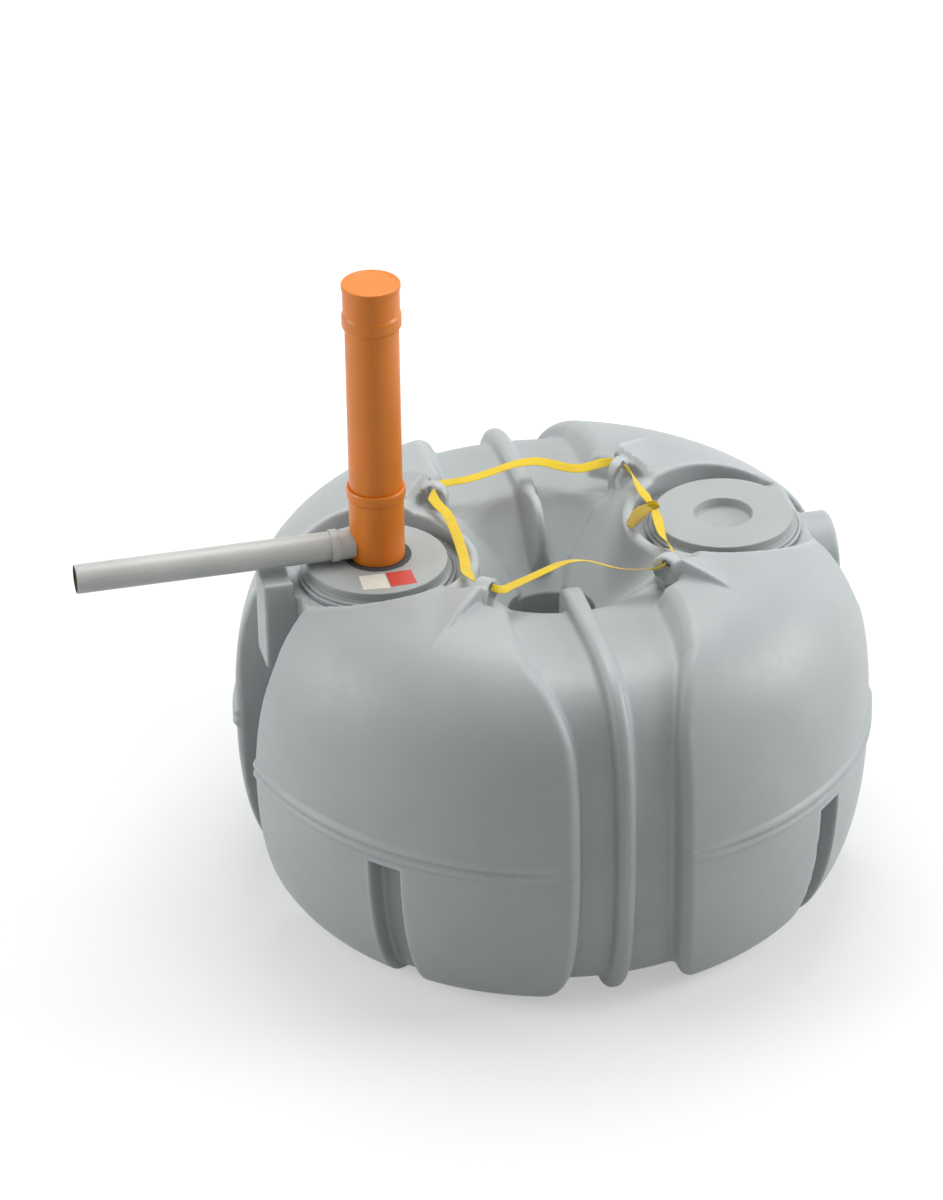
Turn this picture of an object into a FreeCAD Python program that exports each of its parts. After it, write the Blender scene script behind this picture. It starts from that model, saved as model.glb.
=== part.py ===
import FreeCAD
import Part
import Sketcher
import math
import os

# Ring-shaped septic tank with two manholes, a riser with its side pipe, and a lifting strap.
# Frame: +Z up, origin on the tank's axis at base level, X along the line through both manholes.

V = FreeCAD.Vector
doc = FreeCAD.newDocument("septic_tank")
sheet = doc.addObject("Spreadsheet::Sheet", "sizes")
rows = []


def cell(alias, content):
    """One named size: a plain number, or a formula of other names."""
    rows.append(alias)
    place = "B%d" % len(rows)
    sheet.set("A%d" % len(rows), alias)
    sheet.set(place, str(content))
    sheet.setAlias(place, alias)


# Tank body
cell("wall", 10)
cell("step_wall", 13)
cell("belt_height", 685)
cell("body_radius", 1208)
cell("crown_radius", 650)
cell("crown_height", 1445)
cell("crown_fullness", 2.65)
cell("foot_radius", "=body_radius - 268")
cell("foot_fullness", 2.28)
cell("rim_radius", 240)
cell("rim_rounding", 90)
cell("throat_radius", 195)
cell("throat_height", "=crown_height - 395")
cell("well_foot_rounding", 120)
# Waists between the two lobes
cell("waist_recess", 75)
cell("waist_drop", 95)
cell("waist_lift", 35)
cell("waist_fullness", 3.2)
cell("waist_throat_radius", "=throat_radius + 40")
cell("waist_throat_height", "=crown_height - 312")
cell("waist_rim_radius", "=rim_radius + 160")
cell("lug_across", 366)
cell("lug_along", 367)
cell("gap_throat_across", 120)
cell("gap_throat_along", 236)
cell("gap_rim_across", 215)
cell("gap_rim_along", 283)
cell("gap_shoulder_across", 302)
cell("gap_shoulder_along", 520)
cell("gap_crown_across", 294)
cell("gap_crown_along", 720)
cell("gap_flank_across", 264)
cell("gap_flank_along", 900)
cell("gap_edge_across", 200)
cell("gap_edge_along", 1100)
cell("gap_outside_across", 172)
cell("gap_reach", "=body_radius + 82")
# Belt, slots and end grooves
cell("ridge_radius", 17)
cell("ridge_pitch", 20)
cell("ridge_sink", 3)
cell("slot_width", 130)
cell("slot_depth", 85)
cell("slot_foot_depth", 30)
cell("slot_top", 612)
cell("slot_angle", 45)
cell("groove_half", 180)
cell("groove_flare", 108)
cell("stub_recess_half", 272)
cell("stub_recess_foot", 1000)
cell("groove_floor", "=body_radius - 223")
# Hoop ribs round the waists
cell("hoop_line", 15)
cell("hoop_half", 43)
cell("hoop_rise", 50)
cell("hoop_rounding", 18)
cell("hoop_throat_radius", "=waist_throat_radius - 10")
cell("hoop_rim_rounding", 60)
cell("keel_half", 17)
cell("keel_edge", "=waist_throat_radius - 60")
cell("keel_foot", "=waist_throat_height + 70")
# Manholes
cell("lid_line", 670)
cell("pocket_radius", 322)
cell("pocket_floor", "=crown_height - 100")
cell("neck_bore", 235)
cell("neck_outer", 255)
cell("neck_foot", 292)
cell("neck_step", 278)
cell("neck_foot_top", "=pocket_floor + 16")
cell("neck_step_top", "=pocket_floor + 30")
cell("lid_plane", "=crown_height - 30")
cell("lid_radius", 264)
cell("lid_plate", 9)
cell("lid_rim", 38)
cell("fit", 0.3)
cell("lid_bore", "=neck_outer + fit")
cell("lid_under", "=lid_plane - lid_plate")
cell("lid_bottom", "=lid_plane - lid_rim")
cell("neck_top", "=lid_under - fit")
cell("dish_radius", 112)
cell("dish_depth", 40)
cell("dish_floor", "=lid_plane - dish_depth")
cell("dish_under", "=dish_floor - lid_plate")
cell("dish_outside", "=dish_radius + lid_plate")
# Riser, measured up from the base
cell("riser_line", -662)
cell("riser_offset", 23.5)
cell("pipe_radius", 100)
cell("pipe_wall", 5)
cell("pipe_bore", "=pipe_radius - pipe_wall")
cell("socket_bore", "=pipe_radius + fit")
cell("branch_radius", 103)
cell("branch_bottom", "=lid_plane - 115")
cell("side_height", "=lid_plane + 63")
cell("branch_seat", "=side_height + 122")
cell("branch_bead_start", "=branch_seat + 75")
cell("branch_bead_radius", 111)
cell("branch_top", "=branch_seat + 115")
cell("riser_bottom", "=branch_seat + fit")
cell("riser_top", "=lid_plane + 1050")
cell("coupling_radius", 105)
cell("coupling_bead_radius", 110)
cell("coupling_bottom", "=riser_top - 89")
cell("coupling_bead_top", "=coupling_bottom + 60")
cell("coupling_top", "=riser_top + 68")
cell("plug_radius", 109)
cell("plug_top", "=coupling_top + 20.5")
cell("plug_plate", 12)
cell("plug_under", "=plug_top - plug_plate")
cell("plug_seat", "=coupling_top + fit")
cell("plug_foot", "=riser_top + 12")
cell("seal_radius", 127)
cell("seal_groove", 117)
cell("seal_lip", 5.5)
cell("seal_bore", "=branch_radius + fit")
cell("seal_top", "=lid_plane + seal_lip")
cell("seal_seat", "=lid_plane + fit")
cell("seal_bottom", "=lid_under - 12")
cell("lid_hole", "=seal_groove + fit")
# Side pipe, measured along itself from the riser's axis
cell("side_radius", 55)
cell("side_wall", 3.2)
cell("side_bore", "=side_radius - side_wall")
cell("side_end", 1140)
cell("adapter_radius", 57)
cell("adapter_start", 90)
cell("adapter_end", 165)
cell("adapter_bore", "=side_bore - 2")
cell("adapter_hole", "=adapter_radius + fit")
cell("collar_start", "=adapter_end - 14")
cell("collar_end", "=adapter_end + 16")
cell("collar_radius", 61.5)
cell("side_start", "=adapter_end + fit")
# End connections: flat housing at the left, round stub at the right
cell("housing_face", "=body_radius - 91")
cell("housing_back", "=groove_floor - 85")
cell("housing_half", 85)
cell("housing_top", "=crown_height - 43")
cell("housing_bottom", "=housing_top - 352")
cell("stub_radius", 150)
cell("stub_level", "=crown_height - 252")
cell("stub_face", "=body_radius - 113")
cell("stub_back", "=stub_face - 195")
# Lifting lugs and their fins
cell("lug_radius", 48)
cell("lug_half", 40)
cell("lug_level", "=crown_height + 17")
cell("lug_foot", "=crown_height - waist_drop - 60")
cell("lug_hole", 15)
cell("fin_half", 17)
cell("fin_top", "=lug_level + 36")
cell("fin_end", "=body_radius - 358")
cell("fin_tip", "=crown_height - 12")
# Strap
cell("strap_width", 40)
cell("strap_thickness", 3)
cell("strap_lead", 45)
cell("strap_sag", 10)
cell("knot_across", 46)
cell("knot_along", 59.4)
cell("knot_rise", 24)
cell("tail_length", 130)
doc.recompute()


def size(alias):
    """The number that a name stands for."""
    return float(sheet.get(alias))


def point(r, z):
    return V(r, 0, z)


def fullness_curve(centre_r, belt_z, reach_r, reach_z, fullness, steps=7):
    """Quarter of a full oval, from the belt to the crown or the foot, as one smooth curve."""
    points = []
    for step in range(steps):
        angle = math.pi / 2 * step / (steps - 1)
        out = abs(math.cos(angle)) ** (2 / fullness) if step < steps - 1 else 0
        rise = math.sin(angle) ** (2 / fullness)
        points.append(point(centre_r + reach_r * out, belt_z + reach_z * rise))
    curve = Part.BSplineCurve()
    up = V(0, 0, 1 if reach_z > 0 else -1)
    curve.interpolate(Points=points, InitialTangent=up, FinalTangent=V(-1, 0, 0))
    return curve.toShape()


def ring_section(inset, outer, crown, base, foot_r, throat, throat_z, rim, rounding, fullness):
    """Upright section through a ring, drawn in on all sides by inset."""
    outer -= inset
    crown_r = size("crown_radius")
    crown_z = crown - inset
    belt = size("belt_height")
    base += inset
    throat += inset
    rounding -= inset / 2
    foot_round = size("well_foot_rounding")
    upper = fullness_curve(crown_r, belt, outer - crown_r, crown_z - belt, fullness)
    lower = fullness_curve(foot_r, belt, outer - foot_r, base - belt, size("foot_fullness"))
    # Rim of the well: flat crown, round edge, then a funnel down to the throat
    centre = point(rim + inset + rounding, crown_z - rounding)
    throat_top = point(throat, throat_z)
    across = centre - throat_top
    slope = math.atan2(across.x, across.z) - math.asin(min(1, rounding / across.Length))
    touch = centre + point(-rounding * math.cos(slope), rounding * math.sin(slope))
    middle_angle = (math.pi / 2 - slope) / 2 + slope
    middle = centre + point(-rounding * math.cos(middle_angle), rounding * math.sin(middle_angle))
    crown_edge = centre + point(0, rounding)
    foot_start = point(throat, base + foot_round)
    foot_end = point(throat + foot_round, base)
    bend = foot_round * (1 - math.sqrt(0.5))
    foot_middle = point(throat + bend, base + bend)
    edges = [
        upper,
        Part.LineSegment(point(crown_r, crown_z), crown_edge).toShape(),
        Part.Arc(crown_edge, middle, touch).toShape(),
        Part.LineSegment(touch, throat_top).toShape(),
        Part.LineSegment(throat_top, foot_start).toShape(),
        Part.Arc(foot_start, foot_middle, foot_end).toShape(),
        Part.LineSegment(foot_end, point(foot_r, base)).toShape(),
        lower,
    ]
    return Part.Face(Part.Wire(Part.__sortEdges__(edges)))


def lobe_section(inset, recess=0, foot_recess=0):
    return ring_section(inset, size("body_radius") - recess, size("crown_height"), 0,
                        size("foot_radius") - foot_recess, size("throat_radius"), size("throat_height"),
                        size("rim_radius"), size("rim_rounding"), size("crown_fullness"))


def waist_section(inset):
    recess = size("waist_recess")
    return ring_section(inset, size("body_radius") - recess, size("crown_height") - size("waist_drop"),
                        size("waist_lift"), size("foot_radius") - recess, size("waist_throat_radius"),
                        size("waist_throat_height"), size("waist_rim_radius"), size("rim_rounding"),
                        size("waist_fullness"))


def hoop_section(inset):
    recess = size("waist_recess") - size("hoop_rise")
    return ring_section(inset, size("body_radius") - recess,
                        size("crown_height") - size("waist_drop") + size("hoop_rise"),
                        size("waist_lift") - size("hoop_rise"), size("foot_radius") - size("waist_recess"),
                        size("hoop_throat_radius"), size("waist_throat_height"), size("hoop_throat_radius"),
                        size("hoop_rim_rounding"), size("waist_fullness"))


def gap_line(shift=0):
    """Plan line between a lobe and a waist, from the axis out, where X and Y are positive."""
    line = [V(shift, 0, 0)]
    for place in ("gap_throat", "gap_rim", "lug", "gap_shoulder", "gap_crown", "gap_flank", "gap_edge"):
        line.append(V(size(place + "_across") + shift, size(place + "_along"), 0))
    line.append(V(size("gap_outside_across") + shift, size("gap_reach"), 0))
    return line


def upright(points):
    """Upright block over a plan outline, past the tank at both ends."""
    reach = size("gap_reach")
    face = Part.Face(Part.makePolygon([p - V(0, 0, reach) for p in points + points[:1]]))
    return face.extrude(V(0, 0, 3 * reach))


def lobe_region(shift=0):
    far = size("gap_reach")
    return upright(gap_line(shift) + [V(far, far, 0), V(far, 0, 0)])


def waist_region():
    right = gap_line()[1:]
    left = [V(-p.x, p.y, 0) for p in reversed(right)]
    return upright([V(0, 0, 0)] + right + left)


def end_groove(left, grow):
    """Flared groove down a lobe's end, with a wider recess round the stub at the right end."""
    floor = size("groove_floor") - grow
    reach = size("gap_reach")
    half = size("groove_half") + grow
    low = -size("wall") - grow
    groove = upright([V(floor, low, 0), V(reach, low, 0), V(reach, half + size("groove_flare"), 0),
                      V(floor, half, 0)])
    if left:
        return groove
    recess = Part.makeBox(reach, size("stub_recess_half") + grow - low, 2 * reach,
                          V(floor, low, size("stub_recess_foot") - grow))
    return groove.fuse(recess)


def lobe_solid(inset, grow, left):
    """Quarter lobe with its slot, end groove and manhole pocket taken out."""
    reach = size("gap_reach")
    solid = lobe_section(inset).revolve(V(0, 0, 0), V(0, 0, 1), 90)
    shift = size("step_wall") if inset else 0
    solid = solid.common(lobe_region(shift))
    slot_half = size("slot_width") / 2 + grow
    slot = lobe_section(0, size("slot_depth") + grow, size("slot_foot_depth") + grow)
    slot = slot.revolve(V(0, 0, 0), V(0, 0, 1), 90)
    cutter = Part.makeBox(reach, 2 * slot_half, size("slot_top") + grow + reach,
                          V(size("crown_radius"), -slot_half, -reach))
    cutter.rotate(V(0, 0, 0), V(0, 0, 1), 90 - size("slot_angle"))
    cutter = cutter.cut(slot)
    pocket = Part.makeCylinder(size("pocket_radius") + grow, reach,
                               V(size("lid_line"), 0, size("pocket_floor") - grow))
    return solid.cut(end_groove(left, grow)).cut(cutter).cut(pocket)


def ridge(level):
    """Half-round ridge of the belt."""
    centre = point(size("body_radius") - size("ridge_sink"), level)
    circle = Part.makeCircle(size("ridge_radius"), centre, V(0, 1, 0))
    return Part.Face(Part.Wire([circle])).revolve(V(0, 0, 0), V(0, 0, 1), 90)


def mirrored(shape, across_x, across_y):
    """The same piece in another quarter of the tank."""
    if across_x:
        shape = shape.mirror(V(0, 0, 0), V(1, 0, 0))
    if across_y:
        shape = shape.mirror(V(0, 0, 0), V(0, 1, 0))
    return shape


pieces = []


def add_shape(label, shape):
    item = doc.addObject("Part::Feature", label)
    item.Label = label
    item.Shape = shape
    item.Placement = FreeCAD.Placement()
    pieces.append(item)
    return item


def slab(low, high):
    """Everything near the tank between two heights."""
    reach = size("gap_reach")
    return Part.makeBox(4 * reach, 4 * reach, high - low, V(-2 * reach, -2 * reach, low))


def build_shells():
    belt = size("belt_height")
    reach = size("gap_reach")
    wall = size("wall")
    region = lobe_region()
    above = slab(belt, belt + reach)
    below = slab(belt - reach, belt)
    step = region.cut(lobe_region(size("step_wall")))
    waist_void = waist_section(wall).revolve(V(0, 0, 0), V(0, 0, 1), 90).common(step)
    manhole = Part.makeCylinder(size("neck_bore"), reach,
                                V(size("lid_line"), 0, size("pocket_floor") - 3 * wall))
    for side, left in (("right", False), ("left", True)):
        outer = lobe_solid(0, 0, left)
        for level in (belt + size("ridge_pitch"), belt - size("ridge_pitch")):
            outer = outer.fuse(ridge(level).common(region).cut(end_groove(left, 0)))
        shell = outer.cut(lobe_solid(wall, wall, left)).cut(waist_void).cut(manhole)
        upper = shell.common(above)
        lower = shell.common(below)
        for end, front in (("back", False), ("front", True)):
            add_shape("%s_lobe_%s_upper_shell" % (side, end), mirrored(upper, left, front))
            add_shape("%s_lobe_%s_lower_shell" % (side, end), mirrored(lower, left, front))
    turn = waist_section(0)
    turn.rotate(V(0, 0, 0), V(0, 0, 1), 30)
    waist = turn.revolve(V(0, 0, 0), V(0, 0, 1), 120)
    void = waist_section(wall)
    void.rotate(V(0, 0, 0), V(0, 0, 1), 30)
    waist = waist.cut(void.revolve(V(0, 0, 0), V(0, 0, 1), 120)).common(waist_region())
    for end, front in (("back", False), ("front", True)):
        add_shape("%s_waist_upper_shell" % end, mirrored(waist.common(above), False, front))
        add_shape("%s_waist_lower_shell" % end, mirrored(waist.common(below), False, front))


def named(label, suffix):
    return "%s_%s" % (label, suffix)


def turned(label, corners):
    """Body of revolution: corners are pairs of size names, radius and height, '' on the axis."""
    body = doc.addObject("PartDesign::Body", label)
    body.Label = label
    profile = body.newObject("Sketcher::SketchObject", named(label, "profile"))
    plane = [f for f in body.Origin.OriginFeatures if f.Role == "XZ_Plane"][0]
    profile.AttachmentSupport = (plane, [""])
    profile.MapMode = "FlatFace"
    spots = [V(size(r) if r else 0, size(z), 0) for r, z in corners]
    for index, spot in enumerate(spots):
        profile.addGeometry(Part.LineSegment(spot, spots[(index + 1) % len(spots)]), False)
    for index in range(len(spots)):
        after = (index + 1) % len(spots)
        profile.addConstraint(Sketcher.Constraint("Coincident", index, 2, after, 1))
    for index, (r, z) in enumerate(corners):
        if r:
            place = profile.addConstraint(Sketcher.Constraint("DistanceX", -1, 1, index, 1, size(r)))
            profile.setExpression("Constraints[%d]" % place, "sizes." + r)
        else:
            profile.addConstraint(Sketcher.Constraint("PointOnObject", index, 1, -2))
        place = profile.addConstraint(Sketcher.Constraint("DistanceY", -1, 1, index, 1, size(z)))
        profile.setExpression("Constraints[%d]" % place, "sizes." + z)
    turn = body.newObject("PartDesign::Revolution", named(label, "turn"))
    turn.Profile = profile
    turn.ReferenceAxis = (profile, ["V_Axis"])
    turn.Angle = 360
    body.Tip = turn
    return body


def place_on(body, x=None, y=None, z=None):
    """Place a body by size names along each axis."""
    for axis, alias in (("x", x), ("y", y), ("z", z)):
        if alias:
            body.setExpression("Placement.Base." + axis, alias)


def build_necks_and_lids():
    rim = [("neck_bore", "pocket_floor"), ("neck_foot", "pocket_floor"), ("neck_foot", "neck_foot_top"),
           ("neck_step", "neck_foot_top"), ("neck_step", "neck_step_top"),
           ("neck_outer", "neck_step_top"), ("neck_outer", "neck_top"), ("neck_bore", "neck_top")]
    for side, x in (("right", "sizes.lid_line"), ("left", "-sizes.lid_line")):
        neck = turned(side + "_manhole_neck", rim)
        place_on(neck, x)
        pieces.append(neck)
    skirt = [("lid_bore", "lid_under"), ("lid_bore", "lid_bottom"), ("lid_radius", "lid_bottom"),
             ("lid_radius", "lid_plane")]
    below = [("", "dish_under"), ("dish_outside", "dish_under"), ("dish_outside", "lid_under")]
    dish = [("dish_radius", "lid_plane"), ("dish_radius", "dish_floor"), ("", "dish_floor")]
    dished = turned("right_lid", below + skirt + dish)
    place_on(dished, "sizes.lid_line")
    pieces.append(dished)
    plain = turned("left_lid_blank", [("", "lid_under")] + skirt + [("", "lid_plane")])
    place_on(plain, "-sizes.lid_line")
    opening = doc.addObject("Part::Cylinder", "left_lid_opening")
    opening.setExpression("Radius", "sizes.lid_hole")
    opening.setExpression("Height", "sizes.lid_rim")
    place_on(opening, "sizes.riser_line", "sizes.riser_offset", "sizes.lid_under - sizes.lid_plate")
    lid = doc.addObject("Part::Cut", "left_lid")
    lid.Base = plain
    lid.Tool = opening
    pieces.append(lid)


def build_riser():
    seal = turned("riser_seal", [("seal_bore", "seal_bottom"), ("seal_groove", "seal_bottom"),
                                 ("seal_groove", "seal_seat"), ("seal_radius", "seal_seat"),
                                 ("seal_radius", "seal_top"), ("seal_bore", "seal_top")])
    branch = turned("riser_branch_blank", [
        ("pipe_bore", "branch_bottom"), ("branch_radius", "branch_bottom"),
        ("branch_radius", "branch_bead_start"), ("branch_bead_radius", "branch_bead_start"),
        ("branch_bead_radius", "branch_top"), ("socket_bore", "branch_top"),
        ("socket_bore", "branch_seat"), ("pipe_bore", "branch_seat")])
    pipe = turned("riser_pipe", [("pipe_bore", "riser_bottom"), ("pipe_radius", "riser_bottom"),
                                 ("pipe_radius", "riser_top"), ("pipe_bore", "riser_top")])
    coupling = turned("riser_coupling", [
        ("socket_bore", "coupling_bottom"), ("coupling_bead_radius", "coupling_bottom"),
        ("coupling_bead_radius", "coupling_bead_top"), ("coupling_radius", "coupling_bead_top"),
        ("coupling_radius", "coupling_top"), ("socket_bore", "coupling_top")])
    plug = turned("riser_plug", [("", "plug_under"), ("pipe_bore", "plug_under"), ("pipe_bore", "plug_foot"),
                                 ("pipe_radius", "plug_foot"), ("pipe_radius", "plug_seat"),
                                 ("plug_radius", "plug_seat"), ("plug_radius", "plug_top"), ("", "plug_top")])
    for body in (seal, branch, pipe, coupling, plug):
        place_on(body, "sizes.riser_line", "sizes.riser_offset")
    hole = doc.addObject("Part::Cylinder", "branch_side_hole")
    hole.setExpression("Radius", "sizes.adapter_hole")
    hole.setExpression("Height", "2 * sizes.branch_radius")
    hole.Placement = FreeCAD.Placement(V(0, 0, 0), FreeCAD.Rotation(V(0, 1, 0), -90))
    place_on(hole, "sizes.riser_line", "sizes.riser_offset", "sizes.side_height")
    tee = doc.addObject("Part::Cut", "riser_branch")
    tee.Base = branch
    tee.Tool = hole
    pieces.extend([seal, tee, pipe, coupling, plug])


def build_side_pipe():
    adapter = turned("side_pipe_adapter", [
        ("adapter_bore", "adapter_start"), ("adapter_radius", "adapter_start"),
        ("adapter_radius", "adapter_end"), ("adapter_bore", "adapter_end")])
    collar = turned("side_pipe_collar", [("adapter_hole", "collar_start"), ("collar_radius", "collar_start"),
                                         ("collar_radius", "collar_end"), ("adapter_hole", "collar_end")])
    pipe = turned("side_pipe", [("side_bore", "side_start"), ("side_radius", "side_start"),
                                ("side_radius", "side_end"), ("side_bore", "side_end")])
    for body in (adapter, collar, pipe):
        body.Placement = FreeCAD.Placement(V(0, 0, 0), FreeCAD.Rotation(V(0, 1, 0), -90))
        place_on(body, "sizes.riser_line", "sizes.riser_offset", "sizes.side_height")
        pieces.append(body)


def hoop_block(half, inset):
    """Slab across the waist and the well's wall, in the shape of the hoop, drawn in by inset."""
    face = hoop_section(inset)
    face.rotate(V(0, 0, 0), V(0, 0, 1), 90)
    face.translate(V(size("hoop_line") - half, 0, 0))
    return face.extrude(V(2 * half, 0, 0))


def keel_plate():
    """Upright plate that carries the hoop's crest into the well and ends at the waist's wall."""
    edge = size("keel_edge")
    throat = size("waist_throat_radius")
    rounding = size("hoop_rim_rounding")
    bend = 0.3 * rounding
    inside = throat + rounding
    top = size("crown_height") - size("waist_drop") + size("hoop_rise") - size("fit")
    low = size("waist_throat_height")
    corners = [(edge, size("keel_foot")), (edge, top - rounding), (edge + bend, top - bend),
               (edge + rounding, top), (inside, top), (inside, low), (throat, low)]
    half = size("keel_half")
    outline = [V(size("hoop_line") - half, y, z) for y, z in corners]
    return Part.Face(Part.makePolygon(outline + outline[:1])).extrude(V(2 * half, 0, 0))


def build_hoops():
    half = size("hoop_half")
    wall = size("wall")
    outside = hoop_block(half, 0)
    crest = []
    for edge in outside.Edges:
        middle = edge.CenterOfMass
        flat = edge.BoundBox.XLength < size("fit")
        if flat and (middle.z > size("waist_throat_height") or middle.y > size("foot_radius")):
            crest.append(edge)
    outside = outside.makeFillet(size("hoop_rounding"), crest)
    bed = waist_section(0)
    bed.rotate(V(0, 0, 0), V(0, 0, 1), 60)
    bed = bed.revolve(V(0, 0, 0), V(0, 0, 1), 60)
    hoop = outside.cut(hoop_block(half - wall, wall)).fuse(keel_plate()).cut(bed)
    hoop = hoop.cut(slab(-size("gap_reach"), 0))
    add_shape("back_hoop_rib", hoop)
    add_shape("front_hoop_rib", mirrored(hoop, True, True))


def build_lugs(lobe):
    waist = waist_section(0).revolve(V(0, 0, 0), V(0, 0, 1), 90)
    across = size("lug_across")
    along = size("lug_along")
    turn = math.degrees(math.atan2(along, across))
    out = math.hypot(across, along)
    radius = size("lug_radius")
    half = size("lug_half")
    level = size("lug_level")
    foot = size("lug_foot")
    block = Part.makeBox(2 * radius, 2 * half, level - foot, V(out - radius, -half, foot))
    top = Part.makeCylinder(radius, 2 * half, V(out, -half, level), V(0, 1, 0))
    hole = Part.makeCylinder(size("lug_hole"), 4 * half, V(out, -2 * half, level), V(0, 1, 0))
    fin_half = size("fin_half")
    side = [V(out, -fin_half, foot), V(out, -fin_half, size("fin_top")),
            V(size("fin_end"), -fin_half, size("fin_tip")), V(size("fin_end"), -fin_half, foot)]
    fin = Part.Face(Part.makePolygon(side + side[:1])).extrude(V(0, 2 * fin_half, 0))
    lug = block.fuse(top).fuse(fin).cut(hole)
    lug.rotate(V(0, 0, 0), V(0, 0, 1), turn)
    lug = lug.cut(lobe).cut(waist)
    for side_name, across_x in (("right", False), ("left", True)):
        for end, across_y in (("back", False), ("front", True)):
            add_shape("%s_%s_lifting_lug" % (end, side_name), mirrored(lug, across_x, across_y))


def build_end_connections():
    wall = size("wall")
    pocket = Part.makeCylinder(size("pocket_radius") + wall, size("gap_reach"),
                               V(size("lid_line"), 0, size("pocket_floor")))

    def whole(left):
        lobe = lobe_solid(0, 0, left)
        return lobe.fuse(mirrored(lobe, False, True))

    def block(shrink):
        half = size("housing_half") - shrink
        return Part.makeBox(size("housing_face") - size("housing_back") - shrink, 2 * half,
                            size("housing_top") - size("housing_bottom") - 2 * shrink,
                            V(size("housing_back"), -half, size("housing_bottom") + shrink))

    def round_bar(shrink):
        return Part.makeCylinder(size("stub_radius") - shrink, size("stub_face") - size("stub_back") - shrink,
                                 V(size("stub_back"), 0, size("stub_level")), V(1, 0, 0))

    housing = block(0).cut(block(wall)).cut(whole(True)).cut(pocket)
    add_shape("left_pipe_housing", mirrored(biggest(housing), True, False))
    stub = round_bar(0).cut(round_bar(wall)).cut(whole(False)).cut(pocket)
    add_shape("right_pipe_stub", biggest(stub))


def biggest(shape):
    return max(shape.Solids, key=lambda solid: solid.Volume)


def strap_path(points):
    """Straight runs joined by tangent arcs."""
    edges = []
    start = points[0]
    for before, corner, after in zip(points, points[1:], points[2:]):
        inward = before - corner
        onward = after - corner
        shorter = min(inward.Length, onward.Length)
        half_turn = (math.pi - inward.getAngle(onward)) / 2
        radius = 0.45 * shorter / math.tan(half_turn)
        print("strap radius", round(radius))
        inward.normalize()
        onward.normalize()
        first = corner + inward * 0.45 * shorter
        last = corner + onward * 0.45 * shorter
        bisector = inward + onward
        bisector.normalize()
        middle = corner + bisector * (radius / math.cos(half_turn) - radius)
        edges.append(Part.LineSegment(start, first).toShape())
        edges.append(Part.Arc(first, middle, last).toShape())
        start = last
    edges.append(Part.LineSegment(start, points[-1]).toShape())
    return Part.Wire(edges)


def strap_span(label, points):
    path = strap_path(points)
    heading = (points[1] - points[0]).normalize()
    across = V(0, 0, 1).cross(heading).normalize() * (size("strap_width") / 2)
    lift = heading.cross(across).normalize() * (size("strap_thickness") / 2)
    if lift.z < 0:
        lift = lift * -1
    start = points[0]
    section = Part.makePolygon([start - across - lift, start + across - lift, start + across + lift,
                                start - across + lift, start - across - lift])
    sweep = Part.BRepOffsetAPI.MakePipeShell(path)
    sweep.setBiNormalMode(V(0, 0, 1))
    sweep.add(section)
    sweep.build()
    sweep.makeSolid()
    add_shape(label, sweep.shape())


def lug_mouth(left, front, waist_side, away=0):
    """Mouth of a lug's hole where the strap leaves it, or a point further out along the hole."""
    out = V(size("lug_across"), size("lug_along"), 0)
    along = V(-out.y, out.x, 0).normalize() * (1 if waist_side else -1)
    spot = out + along * (size("lug_half") + size("fit") + away) + V(0, 0, size("lug_level"))
    return V(-spot.x if left else spot.x, -spot.y if front else spot.y, spot.z)


def sling_point(across, along, rise):
    """Point of the strap in shares of the lugs' places and of the strap's sag."""
    return V(across * size("lug_across"), along * size("lug_along"),
             size("lug_level") + rise * size("strap_sag"))


def from_lug(left, front, waist_side):
    """Hole's mouth and the end of the straight lead out of it."""
    lead = size("strap_lead")
    return [lug_mouth(left, front, waist_side), lug_mouth(left, front, waist_side, lead)]


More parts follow.
